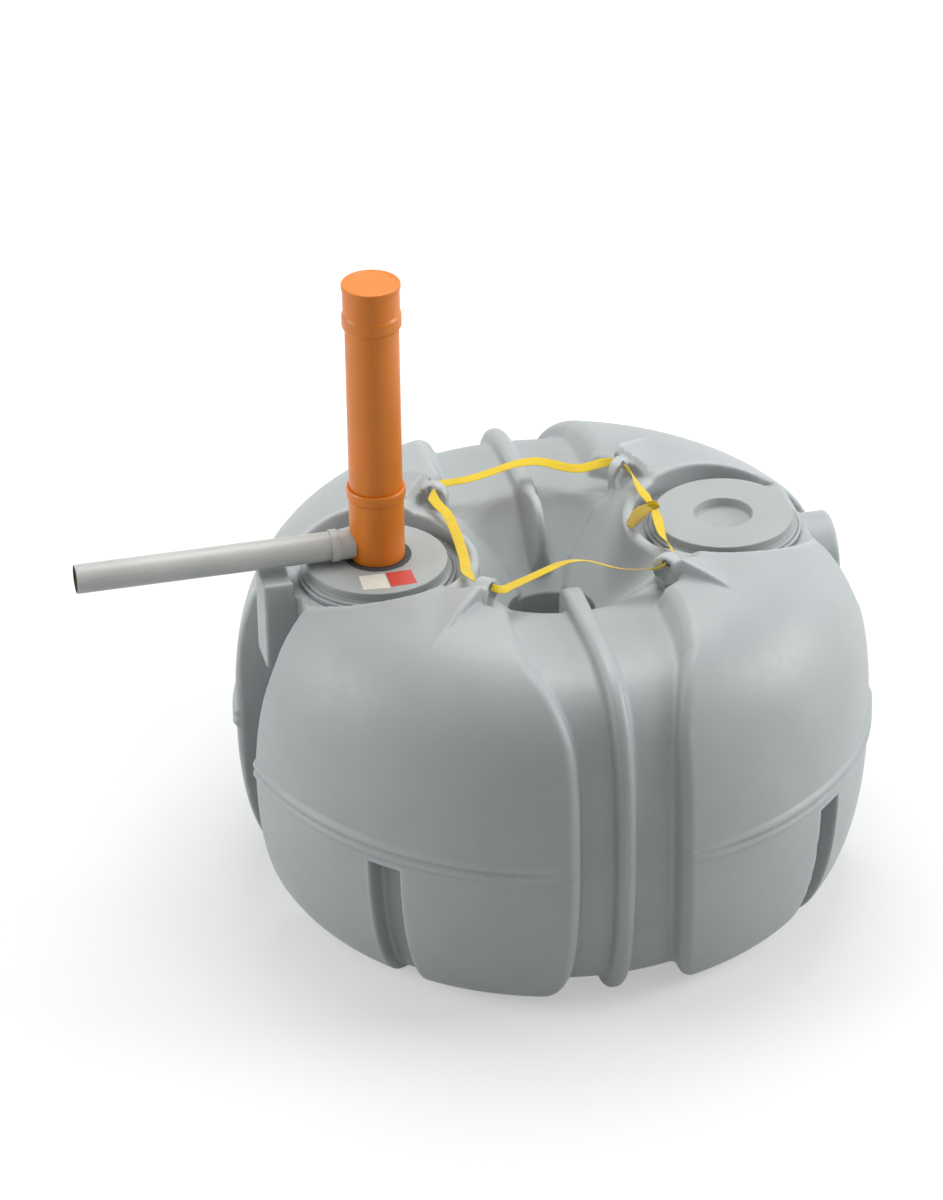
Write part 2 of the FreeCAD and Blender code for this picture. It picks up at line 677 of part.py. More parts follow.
def build_strap():
    back = [(-0.68, 1.16, 0.3), (-0.45, 1.13, 0.9), (-0.16, 1.21, 1.8), (0.11, 1.25, 1.6),
            (0.36, 1.18, 0.4), (0.53, 1.12, -0.4), (0.68, 1.16, -0.3)]
    front = [(-0.68, -1.17, -0.4), (-0.45, -1.0, -0.1), (-0.16, -0.87, 1), (0.12, -0.87, 1.4),
             (0.37, -1.0, 0.6), (0.57, -1.1, -0.2), (0.7, -1.16, -0.3)]
    left = [(-1.17, 0.68, 0.4), (-1.05, 0.45, 0.1), (-0.99, 0.16, 0), (-0.99, -0.16, 0),
            (-1.05, -0.45, 0.1), (-1.16, -0.68, 0.2)]
    right_back = [(1.17, 0.68, 0.6), (1.11, 0.45, 0.8), (1.09, 0.27, 0.6)]
    right_front = [(1.09, -0.16, 0.5), (1.05, -0.38, 0.3), (1.09, -0.56, 0.1), (1.16, -0.69, 0.1)]
    strap_span("back_strap", from_lug(True, False, True) + [sling_point(*p) for p in back]
               + from_lug(False, False, True)[::-1])
    strap_span("front_strap", from_lug(True, True, True) + [sling_point(*p) for p in front]
               + from_lug(False, True, True)[::-1])
    strap_span("left_strap", from_lug(True, False, False) + [sling_point(*p) for p in left]
               + from_lug(True, True, False)[::-1])
    knot = sling_point(1.09, 0.07, 0.4)
    half = V(size("knot_across"), size("knot_along"), size("knot_rise")) / 2
    gap = V(0, half.y + size("fit"), 0)
    strap_span("right_strap_back", from_lug(False, False, False) + [sling_point(*p) for p in right_back]
               + [knot + gap])
    strap_span("right_strap_front", [knot - gap] + [sling_point(*p) for p in right_front]
               + from_lug(False, True, False)[::-1])
    tied = Part.makeBox(2 * half.x, 2 * half.y, 2 * half.z, knot - half)
    for turn, drop in ((207, 6), (222, 8)):
        tail = Part.makeBox(size("tail_length"), size("strap_width"), size("strap_thickness"),
                            V(0, -size("strap_width") / 2, -size("strap_thickness") / 2))
        tail.rotate(V(0, 0, 0), V(0, 1, 0), drop)
        tail.rotate(V(0, 0, 0), V(0, 0, 1), turn)
        tail.translate(knot)
        tied = tied.fuse(tail)
    add_shape("strap_knot", tied)


build_shells()
build_hoops()
build_lugs(lobe_solid(0, 0, False))
build_end_connections()
build_necks_and_lids()
build_riser()
build_side_pipe()
build_strap()
doc.recompute()

for item in doc.Objects:
    if "Invalid" in item.State or "Error" in item.State:
        raise RuntimeError("failed object: " + item.Label)
os.makedirs("parts", exist_ok=True)
for item in pieces:
    shape = item.Shape
    if shape.isNull() or not shape.isValid():
        raise RuntimeError("bad shape: " + item.Label)
    print(item.Label, "solids", len(shape.Solids), "volume l", round(shape.Volume / 1e6, 2))
    shape.exportStep("parts/%s.step" % item.Label)
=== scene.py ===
"""Dresses the packed ring-shaped septic tank: moulded body, necks, lids, riser, side pipe and lifting sling."""

import math

import bpy
import numpy as np
from bpy.props import FloatProperty, FloatVectorProperty, IntProperty, PointerProperty, StringProperty
from mathutils import Matrix, Vector


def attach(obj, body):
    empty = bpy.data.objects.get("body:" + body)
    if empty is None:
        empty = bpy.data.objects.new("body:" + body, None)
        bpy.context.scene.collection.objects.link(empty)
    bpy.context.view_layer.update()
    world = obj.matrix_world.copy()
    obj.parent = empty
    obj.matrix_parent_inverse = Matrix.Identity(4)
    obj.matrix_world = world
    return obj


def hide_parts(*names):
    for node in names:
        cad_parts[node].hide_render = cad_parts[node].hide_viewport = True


bl_info = {
    "name": "Septic tank dresser",
    "version": (1, 0, 0),
    "blender": (4, 5, 0),
    "location": "3D View > Sidebar > Septic Tank",
    "description": "Builds the visible moulding, pipes and sling of a ring-shaped septic tank round its CAD frame",
    "category": "Object",
}

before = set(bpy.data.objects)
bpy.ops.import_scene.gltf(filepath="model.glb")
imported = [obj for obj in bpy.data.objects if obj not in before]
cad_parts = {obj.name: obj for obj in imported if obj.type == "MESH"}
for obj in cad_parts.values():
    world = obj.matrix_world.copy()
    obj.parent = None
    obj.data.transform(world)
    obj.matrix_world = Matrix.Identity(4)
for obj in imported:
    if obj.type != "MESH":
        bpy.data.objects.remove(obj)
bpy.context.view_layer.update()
BODY = "root"
MM = 0.001


# Sizes and colours that a user would change


class TankSizes(bpy.types.PropertyGroup):
    """Main sizes of the moulded body, in millimetres."""

    net_pitch: FloatProperty(name="Net pitch", description="Distance between the points of the moulded skin",
                             default=12.0, min=8.0, max=30.0)
    wall: FloatProperty(name="Wall", description="Thickness of the moulded wall", default=8.0, min=4.0, max=15.0)
    body_radius: FloatProperty(name="Body radius", description="Radius of the lobes at the belt", default=1208.0)
    crown_radius: FloatProperty(name="Crown radius", description="Where the flat of the crown ends", default=650.0)
    crown_height: FloatProperty(name="Crown height", description="Top of the lobes", default=1445.0)
    crown_fullness: FloatProperty(name="Crown fullness", description="How square the shoulder is", default=2.65)
    belt_height: FloatProperty(name="Belt height", description="Middle of the double ridge", default=685.0)
    foot_radius: FloatProperty(name="Foot radius", description="Edge of the flat underside", default=940.0)
    foot_fullness: FloatProperty(name="Foot fullness", description="How square the lower flank is", default=2.28)
    rim_radius: FloatProperty(name="Well rim radius", description="Radius of the well at its rim", default=575.0)
    rim_rounding: FloatProperty(name="Well rim rounding", description="Rounding of the rim", default=28.0)
    throat_radius: FloatProperty(name="Throat radius", description="Narrowest radius of the well", default=165.0)
    throat_height: FloatProperty(name="Throat height", description="Where the funnel of the well ends", default=1090.0)
    well_foot: FloatProperty(name="Well foot rounding", description="Rounding under the well", default=120.0)
    waist_recess: FloatProperty(name="Waist recess", description="How far the waists stand back", default=75.0)
    waist_drop: FloatProperty(name="Waist drop", description="How far the waists lie under the crown", default=95.0)
    waist_lift: FloatProperty(name="Waist lift", description="Gap under the waists", default=35.0)
    waist_fullness: FloatProperty(name="Waist fullness", description="How square the waists' shoulder is", default=3.2)
    waist_throat: FloatProperty(name="Waist throat radius", description="Radius where the waists' funnel ends",
                                default=235.0)
    waist_throat_height: FloatProperty(name="Waist throat height", description="Height where that funnel ends",
                                       default=1133.0)
    waist_rim: FloatProperty(name="Waist rim radius", description="Radius of the waists' rim", default=400.0)
    pocket_radius: FloatProperty(name="Pocket radius", description="Radius of the manholes' pockets", default=342.0)
    collar_radius: FloatProperty(name="Collar radius", description="Outside of the wall round the pockets",
                                 default=383.0)
    lobe_edge: FloatProperty(name="Lobe edge rounding", description="Rounding of the lobes' end edges", default=32.0)
    hoop_line: FloatProperty(name="Hoop line", description="How far the back hoop stands right of the middle",
                             default=15.0)
    hoop_rise: FloatProperty(name="Hoop rise", description="How far the hoops stand proud", default=50.0)
    hoop_half: FloatProperty(name="Hoop half width", description="Half width of a hoop at its foot", default=43.0)


class PipeSizes(bpy.types.PropertyGroup):
    """Sizes of lids, riser and side pipe, in millimetres."""

    segments: IntProperty(name="Segments", description="Faces round each turned piece", default=96, min=24, max=256)
    lid_line: FloatProperty(name="Lid line", description="Distance of both lids from the tank's axis", default=670.0)
    lid_plane: FloatProperty(name="Lid plane", description="Height of the lids' top", default=1415.0)
    lid_radius: FloatProperty(name="Lid radius", description="Outside radius of a lid", default=264.0)
    dish_radius: FloatProperty(name="Dish radius", description="Radius of the dish in the right lid", default=112.0)
    dish_depth: FloatProperty(name="Dish depth", description="Depth of that dish", default=40.0)
    riser_offset: FloatProperty(name="Riser offset", description="How far the riser stands back", default=23.5)
    riser_line: FloatProperty(name="Riser line", description="The riser's place along the lids' line", default=-662.0)
    side_height: FloatProperty(name="Side pipe height", description="Axis of the side pipe", default=1478.0)


class SlingSizes(bpy.types.PropertyGroup):
    """Sizes of the webbing sling, in millimetres."""

    width: FloatProperty(name="Width", description="Width of the webbing", default=40.0)
    thickness: FloatProperty(name="Thickness", description="Thickness of the webbing", default=2.6)


class Finishes(bpy.types.PropertyGroup):
    """Colours of the finishes, as sRGB hex values."""

    body: StringProperty(name="Moulded body", description="Rotomoulded polyethylene", default="ACB1B2")
    lid: StringProperty(name="Lids", description="Injection-moulded lids", default="A9AEAD")
    riser: StringProperty(name="Riser", description="Orange sewer pipe", default="E07B06")
    side_pipe: StringProperty(name="Side pipe", description="Grey drain pipe", default="C4C6C2")
    webbing: StringProperty(name="Webbing", description="Polyester sling", default="EACB14")
    # Darker yellow for the loose tails: painted shade on a copy of the webbing
    shaded_tail_webbing: StringProperty(name="Shaded tail webbing", description="Loose ends of the sling", default="B79A34")
    seal: StringProperty(name="Seal", description="Rubber lip seal", default="26282A")
    label_pale: StringProperty(name="Pale label field", description="Bare vinyl field", default="E6E6DA")
    label_red: StringProperty(name="Red label field", description="Bare vinyl field", default="D2493F")


class StageSizes(bpy.types.PropertyGroup):
    """Camera, floor and lamps."""

    turn: FloatProperty(name="Camera turn", description="Turn of the camera round the tank",
                        default=math.radians(-13.05), subtype="ANGLE")
    elevation: FloatProperty(name="Camera elevation", description="Height of the camera over the horizon",
                             default=math.radians(30.75), subtype="ANGLE")
    roll: FloatProperty(name="Camera roll", description="Roll of the camera", default=math.radians(-0.87),
                        subtype="ANGLE")
    distance: FloatProperty(name="Camera distance", description="Distance to the lids' middle", default=19.259,
                            unit="LENGTH")
    lens: FloatProperty(name="Lens", description="Focal length on a 36 mm sensor", default=153.9)
    aim: FloatVectorProperty(name="Aim", description="How far the view's middle lies right of and above the lids",
                             size=2, default=(0.2985, 0.2448))
    top_power: FloatProperty(name="Top power", description="Watts of the lamp overhead", default=312.0)
    right_power: FloatProperty(name="Right power", description="Watts of the lamp at the right", default=345.0)
    left_power: FloatProperty(name="Left power", description="Watts of the lamp at the left", default=208.0)
    sky_strength: FloatProperty(name="Sky strength", description="Brightness of the room's light", default=0.3)


# Small helpers


def linear(code):
    """Linear RGBA of an sRGB hex colour."""
    parts = [int(code[i:i + 2], 16) / 255 for i in (0, 2, 4)]
    return [c / 12.92 if c <= 0.04045 else ((c + 0.055) / 1.055) ** 2.4 for c in parts] + [1.0]


def per_metre(size_mm):
    """Scale of a pattern whose features are size_mm across, on Object coordinates in metres."""
    return 1000.0 / size_mm


def feed(tree, made, inputs):
    """Gives a node its values and its links."""
    for key, value in inputs.items():
        if isinstance(value, bpy.types.NodeSocket):
            tree.links.new(value, made.inputs[key])
        else:
            made.inputs[key].default_value = value


def node(tree, kind, inputs=None, **settings):
    """Adds one node with its settings, its values and its links."""
    made = tree.nodes.new(kind)
    for key, value in settings.items():
        setattr(made, key, value)
    feed(tree, made, inputs or {})
    return made


def maths(tree, operation, *values):
    """Result of one sum."""
    return node(tree, "ShaderNodeMath", dict(enumerate(values)), operation=operation).outputs["Value"]


def noise(tree, place, size_mm, detail, **more):
    """Noise with features of that size."""
    inputs = {"Vector": place, "Scale": per_metre(size_mm), "Detail": detail, **more}
    return node(tree, "ShaderNodeTexNoise", inputs).outputs["Fac"]


def ranged(tree, value, low, high, to_low=0.0, to_high=1.0):
    """Value stretched from one range to another and held inside it."""
    inputs = {"Value": value, "From Min": low, "From Max": high, "To Min": to_low, "To Max": to_high}
    return node(tree, "ShaderNodeMapRange", inputs).outputs["Result"]


def mixed(tree, factor, a, b, blend="MIX"):
    """Mix of two colours."""
    made = node(tree, "ShaderNodeMix", {"Factor": factor, "A": a, "B": b}, data_type="RGBA", blend_type=blend)
    return made.outputs["Result"]


def bumped(tree, height, strength, distance, **more):
    """Normals that follow a height."""
    inputs = {"Strength": strength, "Distance": distance, "Height": height, **more}
    return node(tree, "ShaderNodeBump", inputs).outputs["Normal"]


def tint(base, share, lift=0.0):
    """The colour made darker or lighter."""
    return [min(1.0, c * share + lift) for c in base[:3]] + [1.0]


def new_material(name):
    """An empty node material and its Principled shader, linked to the output."""
    material = bpy.data.materials.new(name)
    material.use_nodes = True
    tree = material.node_tree
    tree.nodes.clear()
    shader = node(tree, "ShaderNodeBsdfPrincipled")
    node(tree, "ShaderNodeOutputMaterial", {"Surface": shader.outputs["BSDF"]})
    return material, tree, shader


def new_object(name, data):
    """An object in the scene."""
    made = bpy.data.objects.new(name, data)
    bpy.context.scene.collection.objects.link(made)
    return made


def mesh_piece(name, vertices, faces, material, smooth=True):
    """A mesh object at the origin, with its place in its mesh, given in millimetres."""
    mesh = bpy.data.meshes.new(name)
    mesh.from_pydata([tuple(float(c) * MM for c in v) for v in vertices], [], [tuple(f) for f in faces])
    mesh.polygons.foreach_set("use_smooth", [smooth] * len(mesh.polygons))
    mesh.update()
    mesh.materials.append(material)
    return new_object(name, mesh)


def settle(piece, slot, *nodes):
    """Lets a finished piece ride on the tank, in the place of its CAD nodes."""
    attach(piece, BODY)
    if nodes:
        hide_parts(*nodes)
    return piece


def rounded(corners, steps=5):
    """Outline of (radius, height, rounding) corners with each corner turned into an arc."""
    points = []
    for i, (r, z, rounding) in enumerate(corners):
        here = Vector((r, z))
        before = Vector(corners[i - 1][:2])
        after = Vector(corners[(i + 1) % len(corners)][:2])
        inward, onward = (before - here), (after - here)
        if rounding <= 0 or inward.length < 1e-6 or onward.length < 1e-6:
            points.append((r, z))
            continue
        half = inward.angle(onward) / 2
        reach = min(rounding / math.tan(half), 0.45 * inward.length, 0.45 * onward.length)
        radius = reach * math.tan(half)
        bisector = (inward.normalized() + onward.normalized()).normalized()
        centre = here + bisector * (radius / math.sin(half))
        first, last = here + inward.normalized() * reach, here + onward.normalized() * reach
        start = math.atan2(first.y - centre.y, first.x - centre.x)
        turn = math.atan2(last.y - centre.y, last.x - centre.x) - start
        turn = (turn + math.pi) % (2 * math.pi) - math.pi
        for step in range(steps + 1):
            angle = start + turn * step / steps
            points.append((centre.x + radius * math.cos(angle), centre.y + radius * math.sin(angle)))
    return points


def turned(name, rings, centre, segments, material, axis="Z", shift=None):
    """Solid of revolution round a line through centre. rings are (radius, distance along the line) in a closed loop,
    a radius of 0 is a pole, and shift moves a ring sideways."""
    vertices, rows = [], []
    for i, (r, z) in enumerate(rings):
        dx, dy = shift[i] if shift else (0, 0)
        if r < 1e-6:
            rows.append([len(vertices)])
            vertices.append((dx, dy, z))
            continue
        rows.append(list(range(len(vertices), len(vertices) + segments)))
        for k in range(segments):
            angle = 2 * math.pi * k / segments
            vertices.append((dx + r * math.cos(angle), dy + r * math.sin(angle), z))
    faces = []
    for i, row in enumerate(rows):
        other = rows[(i + 1) % len(rows)]
        for k in range(segments):
            n = (k + 1) % segments
            if len(row) == 1 and len(other) == 1:
                break
            if len(row) == 1:
                faces.append((row[0], other[n], other[k]))
            elif len(other) == 1:
                faces.append((row[k], row[n], other[0]))
            else:
                faces.append((row[k], row[n], other[n], other[k]))
    signed = sum(a[0] * b[1] - b[0] * a[1] for a, b in zip(rings, rings[1:] + rings[:1]))
    if signed < 0:
        faces = [tuple(reversed(f)) for f in faces]
    cx, cy, cz = centre
    if axis == "-X":
        placed = [(cx - z, cy + y, cz + x) for x, y, z in vertices]
    else:
        placed = [(cx + x, cy + y, cz + z) for x, y, z in vertices]
    return mesh_piece(name, placed, faces, material)


# Finishes


def polyethylene(name, code, roughness):
    """Rotomoulded polyethylene: matt-satin, slightly wavy from the mould, a little lighter on edges that stand proud,
    from scuffs and a painted highlight, and darker in the creases, which is painted shade."""
    material, tree, shader = new_material(name)
    place = node(tree, "ShaderNodeTexCoord").outputs["Object"]
    base = linear(code)
    # Resin shades drift over about a quarter of a metre
    drift = noise(tree, place, 260, 3.0, Roughness=0.5)
    toned = mixed(tree, 1.0, base, ranged(tree, drift, 0.3, 0.7, 0.955, 1.03), "MULTIPLY")
    # Lighter handling scuffs of 20 to 60 mm, strongest where an edge stands proud: partly wear, partly a painted edge
    # highlight
    scuff = noise(tree, place, 34, 6.0, Roughness=0.62)
    proud = node(tree, "ShaderNodeAttribute", attribute_name="proud").outputs["Fac"]
    scuffed_and_highlit = mixed(tree, maths(tree, "MULTIPLY", proud, scuff), toned, tint(base, 1.28))
    # Painted shade: the colour darkens in the creases
    crease = node(tree, "ShaderNodeAttribute", attribute_name="crease").outputs["Fac"]
    crease_shaded = mixed(tree, maths(tree, "MULTIPLY", crease, 0.42), scuffed_and_highlit, tint(base, 0.62))
    gloss = ranged(tree, scuff, 0.3, 0.75, roughness - 0.05, roughness + 0.08)
    # Mould waviness is drawn 45 mm across and the 2 mm orange peel 9 mm across, so that both show in the render
    broad = bumped(tree, noise(tree, place, 45, 1.0), 0.35, 0.0012)
    fine = bumped(tree, noise(tree, place, 9, 2.0), 0.25, 0.0003, Normal=broad)
    feed(tree, shader, {"Base Color": crease_shaded, "Roughness": gloss, "Normal": fine, "IOR": 1.51})
    return material


def pipe_plastic(name, code, roughness, streak_mm):
    """Extruded PVC or PP pipe: smooth satin, with slow shade drift, pale dusty smears and a fine grain."""
    material, tree, shader = new_material(name)
    place = node(tree, "ShaderNodeTexCoord").outputs["Object"]
    base = linear(code)
    drift = noise(tree, place, 180, 3.0)
    toned = mixed(tree, 1.0, base, ranged(tree, drift, 0.3, 0.7, 0.94, 1.04), "MULTIPLY")
    # Dusty smears left by hands and packing
    smear = noise(tree, place, streak_mm, 7.0, Roughness=0.68, Distortion=0.6)
    dusted = mixed(tree, ranged(tree, smear, 0.56, 0.8, 0.0, 0.2), toned, tint(base, 0.8, 0.1))
    gloss = ranged(tree, smear, 0.3, 0.8, roughness - 0.05, roughness + 0.16)
    grain = bumped(tree, noise(tree, place, 14, 2.0), 0.2, 0.0004)
    feed(tree, shader, {"Base Color": dusted, "Roughness": gloss, "Normal": grain, "IOR": 1.53})
    return material


def pipe_inside():
    """Inside of the used drain pipe: the same plastic under a brown film of dried sludge."""
    material, tree, shader = new_material("stained_pvc_bore")
    place = node(tree, "ShaderNodeTexCoord").outputs["Object"]
    tone = node(tree, "ShaderNodeValToRGB", {"Fac": noise(tree, place, 40, 6.0)})
    dark, pale = tone.color_ramp.elements
    dark.position, dark.color = 0.3, linear("4A3B30")
    pale.position, pale.color = 0.75, linear("8A7B6C")
    feed(tree, shader, {"Base Color": tone.outputs["Color"], "Roughness": 0.75})
    return material


def rubber(code):
    """EPDM lip seal: dull black rubber with a grey bloom."""
    material, tree, shader = new_material("epdm_rubber")
    place = node(tree, "ShaderNodeTexCoord").outputs["Object"]
    bloom = noise(tree, place, 18, 5.0)
    base = linear(code)
    feed(tree, shader, {"Base Color": mixed(tree, bloom, base, tint(base, 2.4)), "Roughness": 0.62,
                        "Normal": bumped(tree, bloom, 0.3, 0.0004)})
    return material


def webbing(name, code):
    """Woven polyester sling: herringbone yarns, dyed yellow, with soft sheen. The yarns are 1.5 mm apart on the real
    sling and are drawn 5 mm apart, so that they show in the render."""
    material, tree, shader = new_material(name)
    along = node(tree, "ShaderNodeUVMap", uv_map="strap").outputs["UV"]
    split = node(tree, "ShaderNodeSeparateXYZ", {"Vector": along}).outputs
    # The herringbone turns over at the middle of the strap
    slanted = maths(tree, "ADD", split["Y"], maths(tree, "ABSOLUTE", split["X"]))
    yarn = maths(tree, "SINE", maths(tree, "MULTIPLY", slanted, 2 * math.pi * per_metre(5)))
    lift = ranged(tree, yarn, -1.0, 1.0)
    base = linear(code)
    woven = mixed(tree, lift, [base[0] * 0.8, base[1] * 0.76, base[2] * 0.6, 1.0], base)
    # Soil rubbed in along the sling, in patches of about 60 mm
    place = node(tree, "ShaderNodeTexCoord").outputs["Object"]
    soil = ranged(tree, noise(tree, place, 60, 5.0), 0.5, 0.8, 0.0, 0.35)
    used = mixed(tree, soil, woven, [base[0] * 0.62, base[1] * 0.56, base[2] + 0.01, 1.0])
    feed(tree, shader, {"Base Color": used, "Normal": bumped(tree, lift, 0.5, 0.0006), "Roughness": 0.72,
                        "Sheen Weight": 0.25})
    return material


def vinyl(name, code):
    """Vinyl label left bare: even colour, soft gloss, a little scuffed."""
    material, tree, shader = new_material(name)
    place = node(tree, "ShaderNodeTexCoord").outputs["Object"]
    rub = ranged(tree, noise(tree, place, 22, 6.0), 0.45, 0.8)
    base = linear(code)
    feed(tree, shader, {"Base Color": mixed(tree, rub, base, tint(base, 0.84, 0.03)), "Roughness": 0.38})
    return material


MADE = {}


def finish_of(name):
    """The material of that name, made once."""
    colours = bpy.context.scene.septic_finishes
    makers = {
        "body": lambda: polyethylene("rotomoulded_polyethylene", colours.body, 0.46),
        "lid": lambda: polyethylene("moulded_polyethylene_lid", colours.lid, 0.42),
        "riser": lambda: pipe_plastic("orange_pvc_sewer_pipe", colours.riser, 0.36, 70),
        "side_pipe": lambda: pipe_plastic("grey_pp_drain_pipe", colours.side_pipe, 0.34, 90),
        "bore": pipe_inside,
        "seal": lambda: rubber(colours.seal),
        "webbing": lambda: webbing("polyester_webbing", colours.webbing),
        # Darker copy of the webbing for the tails: painted shade
        "shaded_tail_webbing": lambda: webbing("shaded_polyester_webbing", colours.shaded_tail_webbing),
        "label_pale": lambda: vinyl("pale_vinyl", colours.label_pale),
        "label_red": lambda: vinyl("red_vinyl", colours.label_red),
    }
    if name not in MADE:
        MADE[name] = makers[name]()
    return MADE[name]


# Moulded body: one smooth shape made of distances, netted and cut into the pieces of the frame


def outline_distance(outline, low, high, pitch):
    """Grid of signed distances to a closed outline, negative inside."""
    xs = np.arange(low[0], high[0] + pitch, pitch)
    ys = np.arange(low[1], high[1] + pitch, pitch)
    px, py = np.meshgrid(xs, ys, indexing="ij")
    nearest = np.full(px.shape, 1e12)
    inside = np.zeros(px.shape, bool)
    for (ax, ay), (bx, by) in zip(outline, outline[1:] + outline[:1]):
        dx, dy = bx - ax, by - ay
        length = dx * dx + dy * dy
        if length < 1e-9:
            continue
        t = np.clip(((px - ax) * dx + (py - ay) * dy) / length, 0, 1)
        nearest = np.minimum(nearest, (px - ax - t * dx) ** 2 + (py - ay - t * dy) ** 2)
        if ay != by:
            crossing = (ay > py) != (by > py)
            inside ^= crossing & (px < ax + (py - ay) * dx / dy)
    return np.where(inside, -1, 1) * np.sqrt(nearest)


def grid_lookup(table, low, pitch, a, b):
    """Values of a grid between its points."""
    i = np.clip((a - low[0]) / pitch, 0, table.shape[0] - 1.001)
    j = np.clip((b - low[1]) / pitch, 0, table.shape[1] - 1.001)
    i0, j0 = i.astype(np.int32), j.astype(np.int32)
    fi, fj = i - i0, j - j0
    return ((1 - fi) * (1 - fj) * table[i0, j0] + fi * (1 - fj) * table[i0 + 1, j0]
            + (1 - fi) * fj * table[i0, j0 + 1] + fi * fj * table[i0 + 1, j0 + 1])


def join_round(a, b, radius):
    """Union of two distances with a fillet."""
    u, v = np.maximum(radius - a, 0), np.maximum(radius - b, 0)
    return np.maximum(radius, np.minimum(a, b)) - np.sqrt(u * u + v * v)


def meet_round(a, b, radius):
    """Common part of two distances with a rounded edge."""
    u, v = np.maximum(radius + a, 0), np.maximum(radius + b, 0)
    return np.minimum(-radius, np.maximum(a, b)) + np.sqrt(u * u + v * v)


def box_distance(a, b, c):
    """Distance to a box, from the distances to its three pairs of faces."""
    outside = np.sqrt(np.maximum(a, 0) ** 2 + np.maximum(b, 0) ** 2 + np.maximum(c, 0) ** 2)
    return outside + np.minimum(np.maximum(a, np.maximum(b, c)), 0)


class Moulding:
    """The tank's skin as distances in millimetres. Its sizes are the CAD source's, apart from the shallow funnel of
    the well, the lugs' hollows and the fillets."""

    pitch = 5.0
    lid_across = 670.0
    pocket_floor = 1345.0
    collar_top = 1408.0
    # Where the end grooves start, out from the axis
    groove_start = 985.0
    low = (-40.0, -100.0)
    plan_low = (-10.0, -10.0)
    # Line between lobe and waist in plan, from the axis out
    gap = [(0, 0), (120, 236), (205, 296), (252, 334), (300, 342), (366, 367), (364, 448), (286, 506), (294, 560),
           (294, 720), (282, 870), (200, 1100), (172, 1290)]
    lug_across, lug_along = 366.0, 367.0

    def __init__(self, sizes):
        self.s = s = sizes
        high = (1420.0, 1620.0)
        outer, crown, foot = s.body_radius, s.crown_height, s.foot_radius
        recess, drop, lift = s.waist_recess, s.waist_drop, s.waist_lift
        well = (s.throat_radius - 30, s.throat_height, s.throat_radius - 30, 60)
        funnel = (s.throat_radius, s.throat_height - 24, s.waist_rim, 90)
        bore = (s.waist_throat - 10, s.waist_throat_height, s.waist_throat - 10, 60)
        rim, throat = s.rim_radius, s.throat_radius
        outlines = {
            "lobe": self.section(outer, crown, 0, foot, well, s.crown_fullness),
            "slot": self.section(outer - 85, crown, 0, foot - 30, well, s.crown_fullness),
            "waist": self.section(outer - recess, crown - drop, lift, foot - recess, funnel, s.waist_fullness),
            "hoop": self.section(outer - recess + s.hoop_rise, crown - drop + s.hoop_rise, lift - s.hoop_rise,
                                 foot - recess, bore, s.waist_fullness),
            "nose": self.section(outer - recess + s.hoop_rise, crown - drop + s.hoop_rise, lift - s.hoop_rise,
                                 foot - recess, (325, s.waist_throat_height, 325, 60), s.waist_fullness),
            # Material round the lobes' well: bore, shallow funnel and steep rim, open at the top
            "funnel": [(throat, -300), (throat, s.throat_height), (throat + 288, s.throat_height + 286),
                       (throat + 312, s.throat_height + 299), (rim - 16, s.throat_height + 306),
                       (rim - 4, s.throat_height + 316), (rim, s.throat_height + 335), (rim, 1900), (2000, 1900),
                       (2000, -300)],
            "keel": [(218, 1120), (198, 1180), (190, 1240), (191, 1280), (199, 1314), (213, 1344), (233, 1369),
                     (259, 1388), (290, 1399), (330, 1402), (330, 1120)],
        }
        self.tables = {name: outline_distance(line, self.low, high, self.pitch) for name, line in outlines.items()}
        far = 1600
        right = self.gap[1:] + [(172, far), (far, far), (far, -far), (172, -far)]
        plan = right + [(x, -y) for x, y in reversed(self.gap[1:])] + [(0, 0)]
        self.plan_table = outline_distance(plan, self.plan_low, (1420, 1420), self.pitch)

    def section(self, outer, crown, base, foot_r, well, fullness):
        """Outline of an upright section: flank, crown, rim of the well, funnel, throat and foot."""
        s = self.s
        throat, throat_z, rim, rounding = well
        points = []
        for step in range(41):
            angle = math.pi / 2 * step / 40
            out, rise = max(math.cos(angle), 0) ** (2 / fullness), math.sin(angle) ** (2 / fullness)
            points.append((s.crown_radius + (outer - s.crown_radius) * out,
                           s.belt_height + (crown - s.belt_height) * rise))
        centre = (rim + rounding, crown - rounding)
        across, above = centre[0] - throat, centre[1] - throat_z
        slope = math.atan2(across, above) - math.asin(min(1, rounding / math.hypot(across, above)))
        for step in range(13):
            angle = math.pi / 2 + (math.pi / 2 - slope) * step / 12
            points.append((centre[0] + rounding * math.cos(angle), centre[1] + rounding * math.sin(angle)))
        points.append((throat, throat_z))
        for step in range(9):
            angle = math.pi + math.pi / 2 * step / 8
            points.append((throat + s.well_foot * (1 + math.cos(angle)),
                           base + s.well_foot * (1 + math.sin(angle))))
        for step in range(41):
            angle = math.pi / 2 * (1 - step / 40)
            out, rise = max(math.cos(angle), 0) ** (2 / s.foot_fullness), math.sin(angle) ** (2 / s.foot_fullness)
            points.append((foot_r + (outer - foot_r) * out, s.belt_height - (s.belt_height - base) * rise))
        return points

    def ring(self, name, r, z):
        """Distance to one of the upright sections."""
        return grid_lookup(self.tables[name], self.low, self.pitch, r, z)

    def parts(self, x, y, z):
        """Distances to the members of the moulding at each point."""
        s = self.s
        left, front = x < 0, y < 0
        from_hoop = np.abs(x - np.sign(y) * s.hoop_line)
        x, y = np.abs(x), np.abs(y)
        r = np.sqrt(x * x + y * y)
        waist_ring = self.ring("waist", r, z)
        # The wall round a manhole's pocket bulges into the well
        from_lid = np.sqrt((x - self.lid_across) ** 2 + y * y)
        pocket_depth = self.pocket_floor - z
        collar = meet_round(from_lid - s.collar_radius, z - self.collar_top, 24)
        wall = join_round(self.ring("funnel", r, z), collar, 80)
        lobe_ring = meet_round(self.ring("lobe", r, z), wall, s.rim_rounding)
        plan = grid_lookup(self.plan_table, self.plan_low, self.pitch, x, y)
